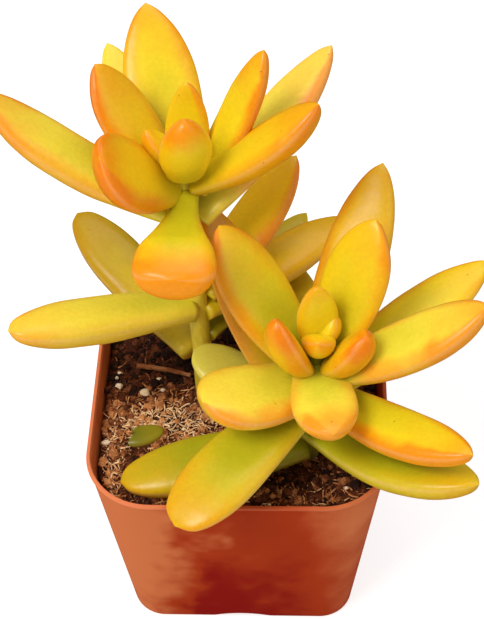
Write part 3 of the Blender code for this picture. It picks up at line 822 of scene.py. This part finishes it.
@dataclass(frozen=True)
class Bud:
    """A growing tip: one upright young leaf, and smaller ones round its foot."""

    stem: str
    core_length: float
    core_width: float
    leaves: tuple[tuple[float, ...], ...]  # azimuth, elevation, length, width and thickness of each
    root_sunk: float = 0.6
    root_rise: float = 1.3
    root_step: float = 0.15
    gap: float = 0.3


BUDS = {
    "upper_bud": Bud("upper", 5.5, 3.2, ((-172, 52, 8.6, 6.2, 4.4), (-140, 74, 6.5, 4.0, 3.2),
                                         (15, 72, 6.0, 3.0, 2.4))),
    "lower_bud": Bud("lower", 3.6, 3.2, ((103, 82, 10.9, 7.4, 4.4), (-95, 42, 5.8, 6.0, 4.6),
                                         (30, 56, 4.4, 4.2, 4.0))),
}


@dataclass(frozen=True)
class StemSkin:
    """Young sedum stem: smooth green skin near the leaves, dry and brownish where it is oldest.

    The eye sees a moist, slightly glowing rod with fine streaks along it.
    """

    name: str
    fresh: str
    old: str
    old_below: float  # the height under which it is all dry
    dry_over: float = 7.0  # how much higher the last of the dryness reaches
    ragged: float = 9.0  # how far the streaks shift that edge
    fibre_mm: float = 0.8
    roughness: float = 0.5

    def make(self) -> bpy.types.Material:
        """Builds the material.

        Returns:
            The stem's skin.
        """
        material, shader, add, place = new_material(self.name, {
            "Subsurface Weight": 0.15, "Subsurface Radius": (1.0, 0.6, 0.15), "Subsurface Scale": 1.2 * MM,
            "Roughness": self.roughness})
        streak = add("Mapping", {"Vector": place, "Scale": (1.0, 1.0, 0.25)})
        fibres = add("TexNoise", {"Vector": streak, "Scale": 1 / (self.fibre_mm * MM), "Detail": 4.0,
                                  "Roughness": 0.65})
        spread = add("Math MULTIPLY_ADD", fibres, self.ragged * MM, add("SeparateXYZ", place, output=2))
        age = add("MapRange SMOOTHSTEP", spread, (self.old_below + self.dry_over) * MM, self.old_below * MM)
        base = add("Mix", age, {6: linear(self.fresh), 7: linear(self.old)}, **COLOUR)
        shade = add("MapRange", fibres, 0.3, 0.7, 0.8, 1.12)
        base = add("Mix MULTIPLY", 1.0, {6: base, 7: shade}, **COLOUR)
        bump = add("Bump", {"Height": fibres, "Strength": 0.4, "Distance": 0.2 * MM})
        feed(shader, {"Base Color": base, "Normal": bump})
        return material


def round_rod_tree(name: str) -> bpy.types.NodeTree:
    """Builds the tree of a tapering, uneven round rod along one cubic curve.

    Args:
        name: The tree's name.

    Returns:
        The geometry tree.
    """
    tree, add, take = new_tree(name, {
        "Foot": ("Vector", None), "Foot Handle": ("Vector", None), "Top Handle": ("Vector", None),
        "Top": ("Vector", None), "Foot Radius": ("Float", 0.002), "Top Radius": ("Float", 0.0016),
        "Steps": ("Int", 90), "Sides": ("Int", 28), "Knots": ("Float", 0.0002), "Knot Size": ("Float", 0.004),
        "Material": ("Material", None)})
    path = add("CurvePrimitiveBezierSegment POSITION", {
        "Resolution": take["Steps"], "Start": take["Foot"], "Start Handle": take["Foot Handle"],
        "End Handle": take["Top Handle"], "End": take["Top"]})
    radius = add("MapRange", add("SplineParameter"), 0.0, 1.0, take["Foot Radius"], take["Top Radius"])
    circle = add("CurvePrimitiveCircle", {"Resolution": take["Sides"], "Radius": 1.0})
    rod = add("CurveToMesh", path, circle, {"Scale": radius, "Fill Caps": True})
    bumps = add("TexNoise", {"Scale": add("Math DIVIDE", 1.0, take["Knot Size"]), "Detail": 2.0})
    end_tree(add, uneven(add, rod, bumps, take["Knots"]), take["Material"])
    return tree


@dataclass
class GoldenSedum:
    """The plant: two stems, the leaves on each, and their growing tips."""

    skin: WaxyLeafSkin = WaxyLeafSkin()
    upper_skin: StemSkin = StemSkin("upper_stem_skin", "#E8D03A", "#7C7420", 40.0)
    lower_skin: StemSkin = StemSkin("lower_stem_skin", "#A9A222", "#6B5A22", 44.0)
    upper_stem: Stem = Stem((-6.8, 3.2, 37), (-7.0, 3.7, 55), (-7.8, 8.3, 72.5), (-9.2, 12.8, 91.5), 1.95,
                            1.65)
    lower_stem: Stem = Stem((13, -12, 37), (13, -12, 48), (13.3, -10.5, 58), (14.5, -8.7, 69), 2.0, 1.65)

    def __post_init__(self) -> None:
        """Makes the leaf grower and the stems' tree."""
        self.stems = {"upper": self.upper_stem, "lower": self.lower_stem}
        self.grower = LeafGrower(self.stems, self.skin.make())
        self.rod = round_rod_tree("leafy stem")

    def build(self) -> None:
        """Builds both stems, their leaves and their buds.

        The seed of each leaf is its number, plus 20 for each letter of its stem's name.
        """
        for name, leaves, skin in (("upper", UPPER_LEAVES, self.upper_skin),
                                   ("lower", LOWER_LEAVES, self.lower_skin)):
            self.build_stem(name, skin.make())
            for number, leaf in enumerate(leaves, 1):
                node = f"{name}_leaf_{number:02d}"
                piece = self.grower.grow(f"{node}_skin", leaf, seed=number + 20 * len(name))
                settle(piece, leaf.tone.value.slot, node)
        for node, bud in BUDS.items():
            self.build_bud(node, bud)

    def build_stem(self, name: str, material: bpy.types.Material) -> None:
        """Builds one stem.

        Args:
            name: Which stem.
            material: Its skin.
        """
        stem = self.stems[name]
        foot, foot_handle, top_handle, top = (
            tuple(np.array(place) * MM) for place in (stem.foot, stem.foot_handle, stem.top_handle, stem.top))
        rod = grow(f"{name}_stem_skin", self.rod, {
            "Foot": foot, "Foot Handle": foot_handle, "Top Handle": top_handle, "Top": top,
            "Foot Radius": stem.foot_radius * MM, "Top Radius": stem.top_radius * MM, "Material": material})
        settle(rod, "stem_skin", f"{name}_stem")

    def build_bud(self, node: str, bud: Bud) -> None:
        """Builds one growing tip as a single piece.

        Args:
            node: The CAD node that it stands for.
            bud: Its leaves and sizes.
        """
        stem = self.stems[bud.stem]
        along = unit(np.array(stem.top) - np.array(stem.top_handle))
        seat = np.array(stem.top) + along * bud.gap
        azimuth = math.degrees(math.atan2(along[1], along[0]))
        elevation = math.degrees(math.asin(along[2]))
        core = Leaf(bud.stem, 0, azimuth, elevation, bud.core_length, bud.core_width, bud.core_width, curl=0,
                    form=Form.YOUNG, flush=(0.3, 0.2, 0.2), green_to=0.1)
        pieces = [self.grower.grow(f"{node}_core", core, seat, seed=3)]
        for i, (turn, tilt, length, width, thickness) in enumerate(bud.leaves):
            root = (seat + direction(turn, 0) * (bud.core_width / 2 * Form.YOUNG.value[0] - bud.root_sunk)
                    + along * (bud.root_rise + bud.root_step * i))
            leaf = Leaf(bud.stem, 0, turn, tilt, length, width, thickness, form=Form.YOUNG,
                        flush=(0.6, 0.3, 0.3), green_to=0.05)
            pieces.append(self.grower.grow(f"{node}_{i}", leaf, root, seed=i + 7))
        settle(joined(f"{node}_skin", pieces), "leaf_gold", node)


@dataclass
class NurseryPot:
    """Square thin-walled nursery pot with round corners, a rolled bead, arches in its foot and drains."""

    height: float = 46.5
    foot_width: float = 44.0
    top_width: float = 55.0
    foot_corner: float = 6.5
    top_corner: float = 12.0
    wall: float = 0.9
    lip: float = 0.5  # the wall draws thinner towards its rim
    lip_drop: float = 0.3  # how far under the rim the wall's inside begins
    floor: float = 2.2
    floor_round: float = 0.9
    foot_edge: float = 0.8
    bead_height: float = 1.1
    bead_proud: float = 0.35
    arch_width: float = 14.0
    arch_rise: float = 1.6
    arch_depth: float = 5.0
    drain_width: float = 4.5
    drain_from_middle: float = 10.0
    corner_steps: int = 20
    side_steps: int = 24
    wall_steps: int = 14
    sharp_above: float = 35.0
    finish: PotPlastic = PotPlastic()

    def outline(self, height: float, inset: float) -> list[tuple[float, float, float]]:
        """The pot's round-cornered square at a height.

        Args:
            height: The height above the foot.
            inset: How far it is moved inwards.

        Returns:
            Its points, anticlockwise from above.
        """
        share = height / self.height
        half = (self.foot_width + (self.top_width - self.foot_width) * share) / 2 - inset
        corner = self.foot_corner + (self.top_corner - self.foot_corner) * share - inset
        reach = half - corner
        points = []
        for quarter in range(4):
            turn = math.radians(90 * quarter)
            local = [(half, -reach + 2 * reach * i / self.side_steps) for i in range(self.side_steps)]
            for i in range(self.corner_steps):
                angle = math.radians(90 * i / self.corner_steps)
                local.append((reach + corner * math.cos(angle), reach + corner * math.sin(angle)))
            c, s = math.cos(turn), math.sin(turn)
            points += [(x * c - y * s, x * s + y * c, height) for x, y in local]
        return points

    def section(self) -> list[tuple[float, float]]:
        """The wall's section from the foot, round the bead and down the inside.

        Returns:
            Heights and insets.
        """
        rings = [(self.foot_edge * (1 - math.cos(a)), self.foot_edge * (1 - math.sin(a)))
                 for a in (math.radians(15 * i) for i in range(7))]
        bead_foot = self.height - self.bead_height
        steps = range(1, self.wall_steps + 1)
        rings += [(self.foot_edge + (bead_foot - self.foot_edge) * i / self.wall_steps, 0.0) for i in steps]
        middle = bead_foot + 0.55 * self.bead_height
        for i in range(7):
            a = math.radians(-90 + 30 * i)
            rings.append((middle + 0.4 * self.bead_height * math.sin(a),
                          -self.bead_proud * math.cos(a) + 0.02))
        inside = self.height - self.lip_drop
        rings += [(self.height, 0.2), (self.height - 0.04, 0.38), (inside, self.lip)]
        depth = inside - (self.floor + self.floor_round)
        rings += [(inside - depth * i / self.wall_steps, self.lip + (self.wall - self.lip) * min(1.0, i / 4))
                  for i in steps]
        rings += [(self.floor + self.floor_round * (1 - math.sin(a)),
                   self.wall + self.floor_round * (1 - math.cos(a)))
                  for a in (math.radians(22.5 * i) for i in range(1, 5))]
        return rings

    def round_cutter(self, name: str, radius: float, length: float, centre: tuple[float, float, float],
                     turn: Matrix, sides: int) -> bpy.types.Object:
        """Makes a cylinder to cut with.

        Args:
            name: Its name.
            radius: Its radius.
            length: Its length.
            centre: Its middle.
            turn: What turns it from upright.
            sides: How many sides its round has.

        Returns:
            The cutter.
        """
        shape = bmesh.new()
        bmesh.ops.create_cone(shape, cap_ends=True, segments=sides, radius1=radius * MM, radius2=radius * MM,
                              depth=length * MM)
        bmesh.ops.transform(shape, matrix=Matrix.Translation(Vector(centre) * MM) @ turn, verts=shape.verts)
        return placed(name, meshed(name, shape))

    def build(self) -> None:
        """Builds the pot, cuts its arches and drains, and dresses it."""
        rings = [self.outline(height, inset) for height, inset in self.section()]
        pot = ringed_piece("nursery_pot", rings, (0, 0, 0), (0, 0, self.floor), self.finish.make(),
                           self.sharp_above)
        radius = (self.arch_width ** 2 / 4 + self.arch_rise ** 2) / (2 * self.arch_rise)
        reach = self.foot_width / 2
        cutters = []
        for side, (x, y) in enumerate(((1, 0), (0, 1), (-1, 0), (0, -1))):
            turn = Matrix.Rotation(math.pi / 2, 4, "Y" if x else "X")
            cutters.append(self.round_cutter(f"arch_{side}", radius, 2 * self.arch_depth,
                                             (x * reach, y * reach, self.arch_rise - radius), turn, 360))
        for x, y in ((1, 1), (-1, 1), (-1, -1), (1, -1)):
            place = (x * self.drain_from_middle, y * self.drain_from_middle, 0)
            cutters.append(self.round_cutter(f"drain_{x}_{y}", self.drain_width / 2, 4 * self.floor, place,
                                             Matrix(), 40))
        for cutter in cutters:
            cut = pot.modifiers.new(cutter.name, "BOOLEAN")
            cut.object, cut.operation, cut.solver = cutter, "DIFFERENCE", "EXACT"
        bpy.context.view_layer.update()
        mesh = bpy.data.meshes.new_from_object(pot.evaluated_get(bpy.context.evaluated_depsgraph_get()))
        pot.modifiers.clear()
        pot.data = mesh
        mesh.shade_smooth()
        mesh.set_sharp_from_angle(angle=math.radians(self.sharp_above))
        for cutter in cutters:
            bpy.data.objects.remove(cutter, do_unlink=True)
        settle(pot, "pot_plastic", "pot")


def soil_height(x: float, y: float) -> float:
    """The height of the CAD soil's uneven top, in millimetres."""
    return 42.0 + 0.7 * noise.noise(Vector((x, y, 0)) * 0.13)


class Grain(Enum):
    """What lies loose on the potting mix."""

    CRUMB = "rough ball"
    FIBRE = "thin bent splinter"


def scatter_tree(name: str, grain: Grain) -> bpy.types.NodeTree:
    """Builds a tree that scatters crumbs or fibres over a surface.

    Args:
        name: The tree's name.
        grain: What it scatters.

    Returns:
        The geometry tree.
    """
    tree, add, take = new_tree(name, {
        "Density": ("Float", 1e6), "Size Min": ("Float", 0.0003), "Size Max": ("Float", 0.001),
        "Flatness": ("Float", 0.7), "Sink": ("Float", 0.0), "Tilt": ("Float", 1.0), "Seed": ("Int", 1),
        "Cover": ("String", "crumb_cover"), "Material": ("Material", None)})
    cover = add("InputNamedAttribute", take["Cover"], data_type="FLOAT")
    density = add("Math MULTIPLY", take["Density"], cover)
    points = add("DistributePointsOnFaces", take["Geometry"], {"Density": density, "Seed": take["Seed"]},
                 distribute_method="RANDOM")
    picks = []
    for offset, low, high in ((13.0, 0.0, 1.0), (26.0, -1.0, 1.0), (39.0, -1.0, 1.0),
                              (52.0, 0.0, 2 * math.pi), (65.0, 0.0, 1.0)):
        seed = add("Math ADD", take["Seed"], offset)
        picks.append(add("RandomValue", {2: low, 3: high, "Seed": seed}, output=1, data_type="FLOAT"))
    largeness, tilt_x, tilt_y, turn, shade = picks
    # The power makes most grains small.
    size = add("MapRange", add("Math POWER", largeness, 2.2), 0.0, 1.0, take["Size Min"], take["Size Max"])
    tilts = [add("Math MULTIPLY", tilt, take["Tilt"]) for tilt in (tilt_x, tilt_y)]
    rotation = add("EulerToRotation", add("CombineXYZ", *tilts, turn))
    if grain is Grain.CRUMB:
        ball = add("MeshIcoSphere", {"Radius": 1.0, "Subdivisions": 2})
        lumps = add("TexNoise", {"Scale": 1.6, "Detail": 1.0}, output="Color")
        lumps = add("VectorMath SCALE", add("VectorMath SUBTRACT", lumps, (0.5, 0.5, 0.5)), {"Scale": 1.3})
        shape = add("SetPosition", ball, {"Offset": lumps})
        scale = add("CombineXYZ", size, size, add("Math MULTIPLY", size, take["Flatness"]))
    else:
        path = add("CurvePrimitiveBezierSegment POSITION", {
            "Resolution": 3, "Start": (-1.0, 0.0, -0.1), "Start Handle": (-0.4, 0.2, 0.1),
            "End Handle": (0.4, 0.15, 0.1), "End": (1.0, -0.1, 0.0)})
        # It is thick in the middle and thin at both ends.
        middle = add("Math SINE", add("Math MULTIPLY", add("SplineParameter"), 3.0))
        thickness = add("Math MULTIPLY_ADD", middle, 0.26, 0.14)
        square = add("CurvePrimitiveCircle", {"Resolution": 4, "Radius": 1.0})
        shape = add("CurveToMesh", path, square, {"Scale": thickness, "Fill Caps": True})
        scale = add("CombineXYZ", size, size, size)
    # The bed's paleness, with its painted shade at the back, carries into each grain's tone.
    bright = add("InputNamedAttribute", "bright", data_type="FLOAT")
    tone = add("Math MULTIPLY_ADD", shade, 0.6, bright)
    points = add("StoreNamedAttribute", points, {"Name": "grain_tone", "Value": tone}, data_type="FLOAT",
                 domain="POINT")
    points = add("SetPosition", points, {"Offset": add("CombineXYZ", {2: take["Sink"]})})
    grains = add("InstanceOnPoints", {"Points": points, "Instance": shape, "Rotation": rotation,
                                      "Scale": scale})
    smooth = add("SetShadeSmooth", add("RealizeInstances", grains), {"Shade Smooth": grain is Grain.FIBRE})
    end_tree(add, smooth, take["Material"])
    return tree


@dataclass
class PottingMix:
    """The potting mix: an uneven bed with crumbs, fibres and white grains on it."""

    pot: NurseryPot
    level: float = 42.0
    bottom: float = 2.6
    side_gap: float = 0.3
    rings: int = 64
    cover_half: float = 25.6
    cover_step: float = 0.8
    old_leaf: tuple[float, float] = (-17.4, -9.2)  # the middle of the fallen leaf, which the mix half buries
    lumps: tuple[tuple[float, float], ...] = ((0.5, 0.42), (0.3, 1.3))  # height and fineness of each noise
    # Each heap by that leaf: its place from the leaf's middle, its half widths and its height.
    heaps: tuple[tuple[float, ...], ...] = ((0.0, 0.0, 5.2, 3.4, 1.7), (-4.6, -1.4, 2.2, 3.0, 2.0))
    # Each dry, pale patch: its place, its spread along x and y in square millimetres, and how pale it is.
    dry_patches: tuple[tuple[float, ...], ...] = ((-14, -5, 120, 34, 0.74), (-24, -17, 8, 60, 0.5),
                                                  (8, -22, 200, 12, 0.12))
    # Each white grain: its place, its half width and its half height.
    perlite: tuple[tuple[float, float, float, float], ...] = (
        (-18.4, 1.7, 0.95, 0.55), (-23.6, 3.1, 0.75, 0.6), (-15.0, 2.2, 0.45, 0.4), (-24.2, 5.4, 0.4, 0.35),
        (-23.7, 6.6, 0.5, 0.4), (-15.9, 4.9, 0.5, 0.3), (-24.9, -10.4, 0.75, 0.55), (-10.5, -7.0, 0.4, 0.3),
        (6.0, -24.0, 0.35, 0.3), (9.0, 12.0, 0.5, 0.4), (17.0, 16.0, 0.6, 0.45), (-4.0, 19.0, 0.55, 0.4),
        (20.0, -20.0, 0.4, 0.3), (2.0, 6.0, 0.4, 0.3))
    bed: MottledSurface = MottledSurface(
        "damp_potting_mix", "#1E0B04", "#4E220E", "#8A4A20", 2.4, 0.5, 0.95, 0.5)
    crumbs: MottledSurface = MottledSurface(
        "peat_crumbs", "#230D05", "#7C4220", "#CF8E56", 1.2, 0.25, 0.9, 0.15, by_grain=True)
    fibres: MottledSurface = MottledSurface(
        "coir_fibres", "#5C2A10", "#D08A50", "#FFDCAC", 1.0, 0.2, 0.8, 0.08, by_grain=True)
    white: MottledSurface = MottledSurface(
        "white_perlite", "#D8B98C", "#F3DDBC", "#FFF6E6", 1.0, 0.3, 0.75, 0.1, glow=0.2)

    def top(self, x: float, y: float) -> float:
        """The height of the bed at a place, with its small lumps and its heaps.

        Args:
            x: The place, in millimetres.
            y: The place, in millimetres.

        Returns:
            The height in millimetres.
        """
        place = Vector((x, y, 0.0))
        lumps = sum(rise * noise.noise(place * fineness) for rise, fineness in self.lumps)
        x0, y0 = self.old_leaf
        heap = sum(rise * math.exp(-((x - x0 - dx) / wide) ** 4 - ((y - y0 - dy) / deep) ** 4)
                   for dx, dy, wide, deep, rise in self.heaps)
        return soil_height(x, y) + lumps + heap

    def bright(self, x: float, y: float) -> float:
        """How pale the mix is at a place, from about -0.25 in painted shade at the back to 0.7 where driest.

        Args:
            x: The place, in millimetres.
            y: The place, in millimetres.

        Returns:
            What is added to the tone of each grain there.
        """
        dry = sum(pale * math.exp(-((x - px) ** 2 / spread_x + (y - py) ** 2 / spread_y))
                  for px, py, spread_x, spread_y, pale in self.dry_patches)
        # Painted shade: the back half of the bed is darker.
        shaded = 0.25 / (1 + math.exp(-(y - 2) / 2.5))
        return dry - shaded

    def build(self) -> None:
        """Builds the bed and scatters what lies on it."""
        inset = self.pot.wall + self.side_gap
        rings = [self.pot.outline(height, inset) for height in (self.bottom, 14.0, 28.0)]
        edge = self.pot.outline(self.level, inset)
        for share in [1.0, 0.993] + [1 - (i / self.rings) for i in range(1, self.rings)]:
            rings.append([(x * share, y * share, self.top(x * share, y * share)) for x, y, _ in edge])
        bed = ringed_piece("potting_mix_bed", rings, (0, 0, self.bottom), (0, 0, self.top(0, 0)),
                           self.bed.make(), sharp_above=60)
        settle(bed, "potting_mix", "soil")
        cover = self.cover_mesh()
        settle(grow("peat_crumbs", scatter_tree("crumbs on a surface", Grain.CRUMB), {
            "Density": 0.8e6, "Size Min": 0.22 * MM, "Size Max": 1.15 * MM, "Flatness": 0.75,
            "Sink": 0.1 * MM, "Seed": 3, "Cover": "crumb_cover", "Material": self.crumbs.make()}, cover),
            "potting_mix")
        settle(grow("coir_fibres", scatter_tree("fibres on a surface", Grain.FIBRE), {
            "Density": 3.0e6, "Size Min": 0.2 * MM, "Size Max": 1.1 * MM, "Tilt": 0.6, "Sink": 0.25 * MM,
            "Seed": 11, "Cover": "fibre_cover", "Material": self.fibres.make()}, cover),
            "potting_mix")
        settle(self.white_grains(), "potting_mix")

    def cover_mesh(self) -> bpy.types.Mesh:
        """Makes the top surface that the scatter starts from.

        Returns:
            A grid on the bed, with how pale each place is and how much lies on it.
        """
        shape = bmesh.new()
        half, step = self.cover_half, self.cover_step
        count = int(2 * half / step) + 1
        corner = self.pot.top_corner - 2.5
        grid = {}
        for i in range(count):
            for j in range(count):
                x, y = -half + i * step, -half + j * step
                past = math.hypot(max(0.0, abs(x) - half + corner), max(0.0, abs(y) - half + corner))
                if past <= corner:
                    grid[i, j] = shape.verts.new(Vector((x, y, self.top(x, y))) * MM)
        for i, j in grid:
            around = [(i, j), (i + 1, j), (i + 1, j + 1), (i, j + 1)]
            if all(place in grid for place in around):
                shape.faces.new([grid[place] for place in around])
        mesh = meshed("bed_top", shape)
        bright = [self.bright(v.co.x / MM, v.co.y / MM) for v in mesh.vertices]
        for name, values in (("bright", bright), ("crumb_cover", [1.0 - 0.5 * max(0.0, b) for b in bright]),
                             ("fibre_cover", [min(1.0, max(0.15, 0.45 + 1.2 * b)) for b in bright])):
            mesh.attributes.new(name, "FLOAT", "POINT").data.foreach_set("value", values)
        return mesh

    def white_grains(self) -> bpy.types.Object:
        """Makes the white grains as one object.

        Returns:
            The object, at the origin.
        """
        shape = bmesh.new()
        for number, (x, y, wide, high) in enumerate(self.perlite):
            made = bmesh.ops.create_icosphere(shape, subdivisions=3, radius=1.0)["verts"]
            for vertex in made:
                lump = 1 + 0.35 * noise.noise(vertex.co * 1.3 + Vector((number * 5.1, 0, 0)))
                vertex.co = Vector((x, y, self.top(x, y) + 0.25 + high * 0.6)) * MM + Vector(
                    (vertex.co.x * wide, vertex.co.y * wide * 0.8, vertex.co.z * high)) * lump * MM
        mesh = meshed("perlite_grains", shape)
        mesh.shade_smooth()
        return placed("perlite_grains", mesh, self.white.make())


@dataclass
class LooseLitter:
    """A dry twig and a small old leaf that lie on the mix."""

    grower: LeafGrower
    twig_ends: tuple[tuple[float, float], tuple[float, float]] = ((-20.4, 7.9), (-9.8, 5.6))
    twig_radius: float = 0.55
    twig_taper: float = 0.75
    twig_bow: float = 0.4
    twig_gap: float = 0.3  # between the twig and the CAD soil
    leaf_root: tuple[float, float] = (-21.2, -10.6)
    leaf_lift: float = 0.56  # how high its middle lies over the CAD soil, in thicknesses
    bark: MottledSurface = MottledSurface("dry_bark", "#4A2412", "#9A5B30", "#D29A66", 1.6, 0.3, 0.9, 0.2,
                                          stretch=(0.3, 1.0, 1.0))

    def build(self) -> None:
        """Builds both."""
        (x0, y0), (x1, y1) = self.twig_ends
        bed = max(soil_height(x0 + (x1 - x0) * i / 10, y0 + (y1 - y0) * i / 10) for i in range(11))
        height = bed + self.twig_gap + self.twig_radius
        start, end = (np.array((x, y, height)) * MM for x, y in self.twig_ends)
        lift = np.array((0, self.twig_bow * 4 / 3, 0)) * MM
        twig = grow("bark_twig", round_rod_tree("dry twig"), {
            "Foot": tuple(start), "Foot Handle": tuple(start * 2 / 3 + end / 3 + lift),
            "Top Handle": tuple(start / 3 + end * 2 / 3 + lift), "Top": tuple(end),
            "Foot Radius": self.twig_radius * MM, "Top Radius": self.twig_taper * self.twig_radius * MM,
            "Steps": 50, "Sides": 14, "Knots": 0.35 * MM, "Knot Size": 1.4 * MM,
            "Material": self.bark.make()})
        settle(twig, "dry_bark", "twig")
        x, y = self.leaf_root
        old = Leaf("upper", rise=0, azimuth=16, elevation=2, length=7.4, width=4.4, thickness=3,
                   form=Form.OLD, tone=LeafTone.WITHERED, flush=(0.0, 0.0, 0.0), green_to=0.5)
        bed = max(soil_height(x + i, y + j) for i in range(0, 9, 2) for j in (-2, 0, 2, 4))
        root = np.array((x, y, bed + self.leaf_lift * old.thickness))
        settle(self.grower.grow("fallen_leaf_skin", old, root, seed=91), "leaf_olive", "fallen_leaf")


@dataclass(frozen=True)
class Studio:
    """The photograph's viewpoint, soft lights round it and a plain pale floor."""

    azimuth: float = 3.129
    elevation: float = 48.0
    roll: float = -2.0
    distance: float = 275.1
    aim: tuple[float, float, float] = (0.93, 0.0, 68.5)
    lens: float = 89.4
    lit_height: float = 60.0  # the height that the lamps face
    # Each lamp: its name, azimuth, elevation, distance and size in metres, power in watts, and tint.
    lamps: tuple[tuple[str, float, float, float, float, float, str], ...] = (
        ("key_softbox", -140, 55, 0.9, 0.4, 5.8, "#FFF9F0"),
        ("fill_softbox", -20, 45, 1.1, 0.8, 1.8, "#FFFFFF"),
        ("rear_softbox", 70, 65, 1.0, 0.7, 2.6, "#FFFFFF"))
    floor_glow: float = 0.72
    room_glow: float = 0.37

    def axes(self) -> tuple[np.ndarray, np.ndarray, np.ndarray]:
        """Works out how the camera stands.

        Returns:
            Its right, up and back vectors.
        """
        a, e, r = (math.radians(angle) for angle in (self.azimuth, self.elevation, self.roll))
        back = np.array((math.sin(a) * math.cos(e), -math.cos(a) * math.cos(e), math.sin(e)))
        level = np.array((math.cos(a), math.sin(a), 0.0))
        rise = np.cross(back, level)
        return math.cos(r) * level + math.sin(r) * rise, math.cos(r) * rise - math.sin(r) * level, back

    def camera(self) -> None:
        """Places the camera."""
        right, up, back = self.axes()
        data = bpy.data.cameras.new("viewpoint")
        data.lens, data.sensor_width = self.lens, 36.0
        data.clip_start, data.clip_end = 0.01, 10.0
        camera = bpy.data.objects.new("viewpoint", data)
        matrix = Matrix([(*row, 0.0) for row in np.array((right, up, back)).T] + [(0, 0, 0, 1)])
        matrix.translation = Vector((np.array(self.aim) + back * self.distance) * MM)
        camera.matrix_world = matrix
        bpy.context.scene.collection.objects.link(camera)
        bpy.context.scene.camera = camera

    def softbox(self, name: str, azimuth: float, elevation: float, distance: float, size: float, power: float,
                tint: str) -> None:
        """Places one softbox that faces the plant.

        Args:
            name: The lamp's name.
            azimuth: Where it stands round the plant, in degrees from +X.
            elevation: Its height angle.
            distance: How far it is, in metres.
            size: The side of its square, in metres.
            power: Its power in watts.
            tint: Its colour.
        """
        data = bpy.data.lights.new(name, "AREA")
        data.size, data.energy, data.color = size, power, linear(tint)[:3]
        lamp = bpy.data.objects.new(name, data)
        way = Vector(direction(azimuth, elevation))
        lamp.location = Vector((0, 0, self.lit_height * MM)) + way * distance
        lamp.rotation_euler = way.to_track_quat("Z", "Y").to_euler()
        bpy.context.scene.collection.objects.link(lamp)

    def floor(self) -> None:
        """Lays the pale floor. It glows as paper does under bright lamps, and isn't mirrored in the plant."""
        shape = bmesh.new()
        bmesh.ops.create_grid(shape, x_segments=1, y_segments=1, size=3.0)
        paper, *_ = new_material("matt_white_paper", {
            "Base Color": linear("#B4B4B4"), "Roughness": 0.9, "Specular IOR Level": 0.1,
            "Emission Color": (1, 1, 1, 1), "Emission Strength": self.floor_glow})
        floor = placed("pale_floor", meshed("pale_floor", shape), paper)
        floor.visible_glossy = False

    def build(self) -> None:
        """Places the camera, the lights, the floor and the bright room."""
        self.camera()
        for lamp in self.lamps:
            self.softbox(*lamp)
        self.floor()
        world = bpy.data.worlds.new("white_room")
        world.use_nodes = True
        feed(world.node_tree.nodes["Background"], {"Color": (1, 1, 1, 1), "Strength": self.room_glow})
        # A mirrored white room would lie over the plant's strong colours as a pale haze.
        world.cycles_visibility.glossy = False
        bpy.context.scene.world = world
        bpy.context.scene.view_settings.view_transform = "Standard"


def main() -> None:
    """Builds the scene, piece by piece."""
    logging.basicConfig(level=logging.INFO, format="%(name)s: %(message)s")
    Studio().build()
    pot = NurseryPot()
    pot.build()
    PottingMix(pot).build()
    plant = GoldenSedum()
    plant.build()
    LooseLitter(plant.grower).build()


if __name__ == "__main__":
    main()
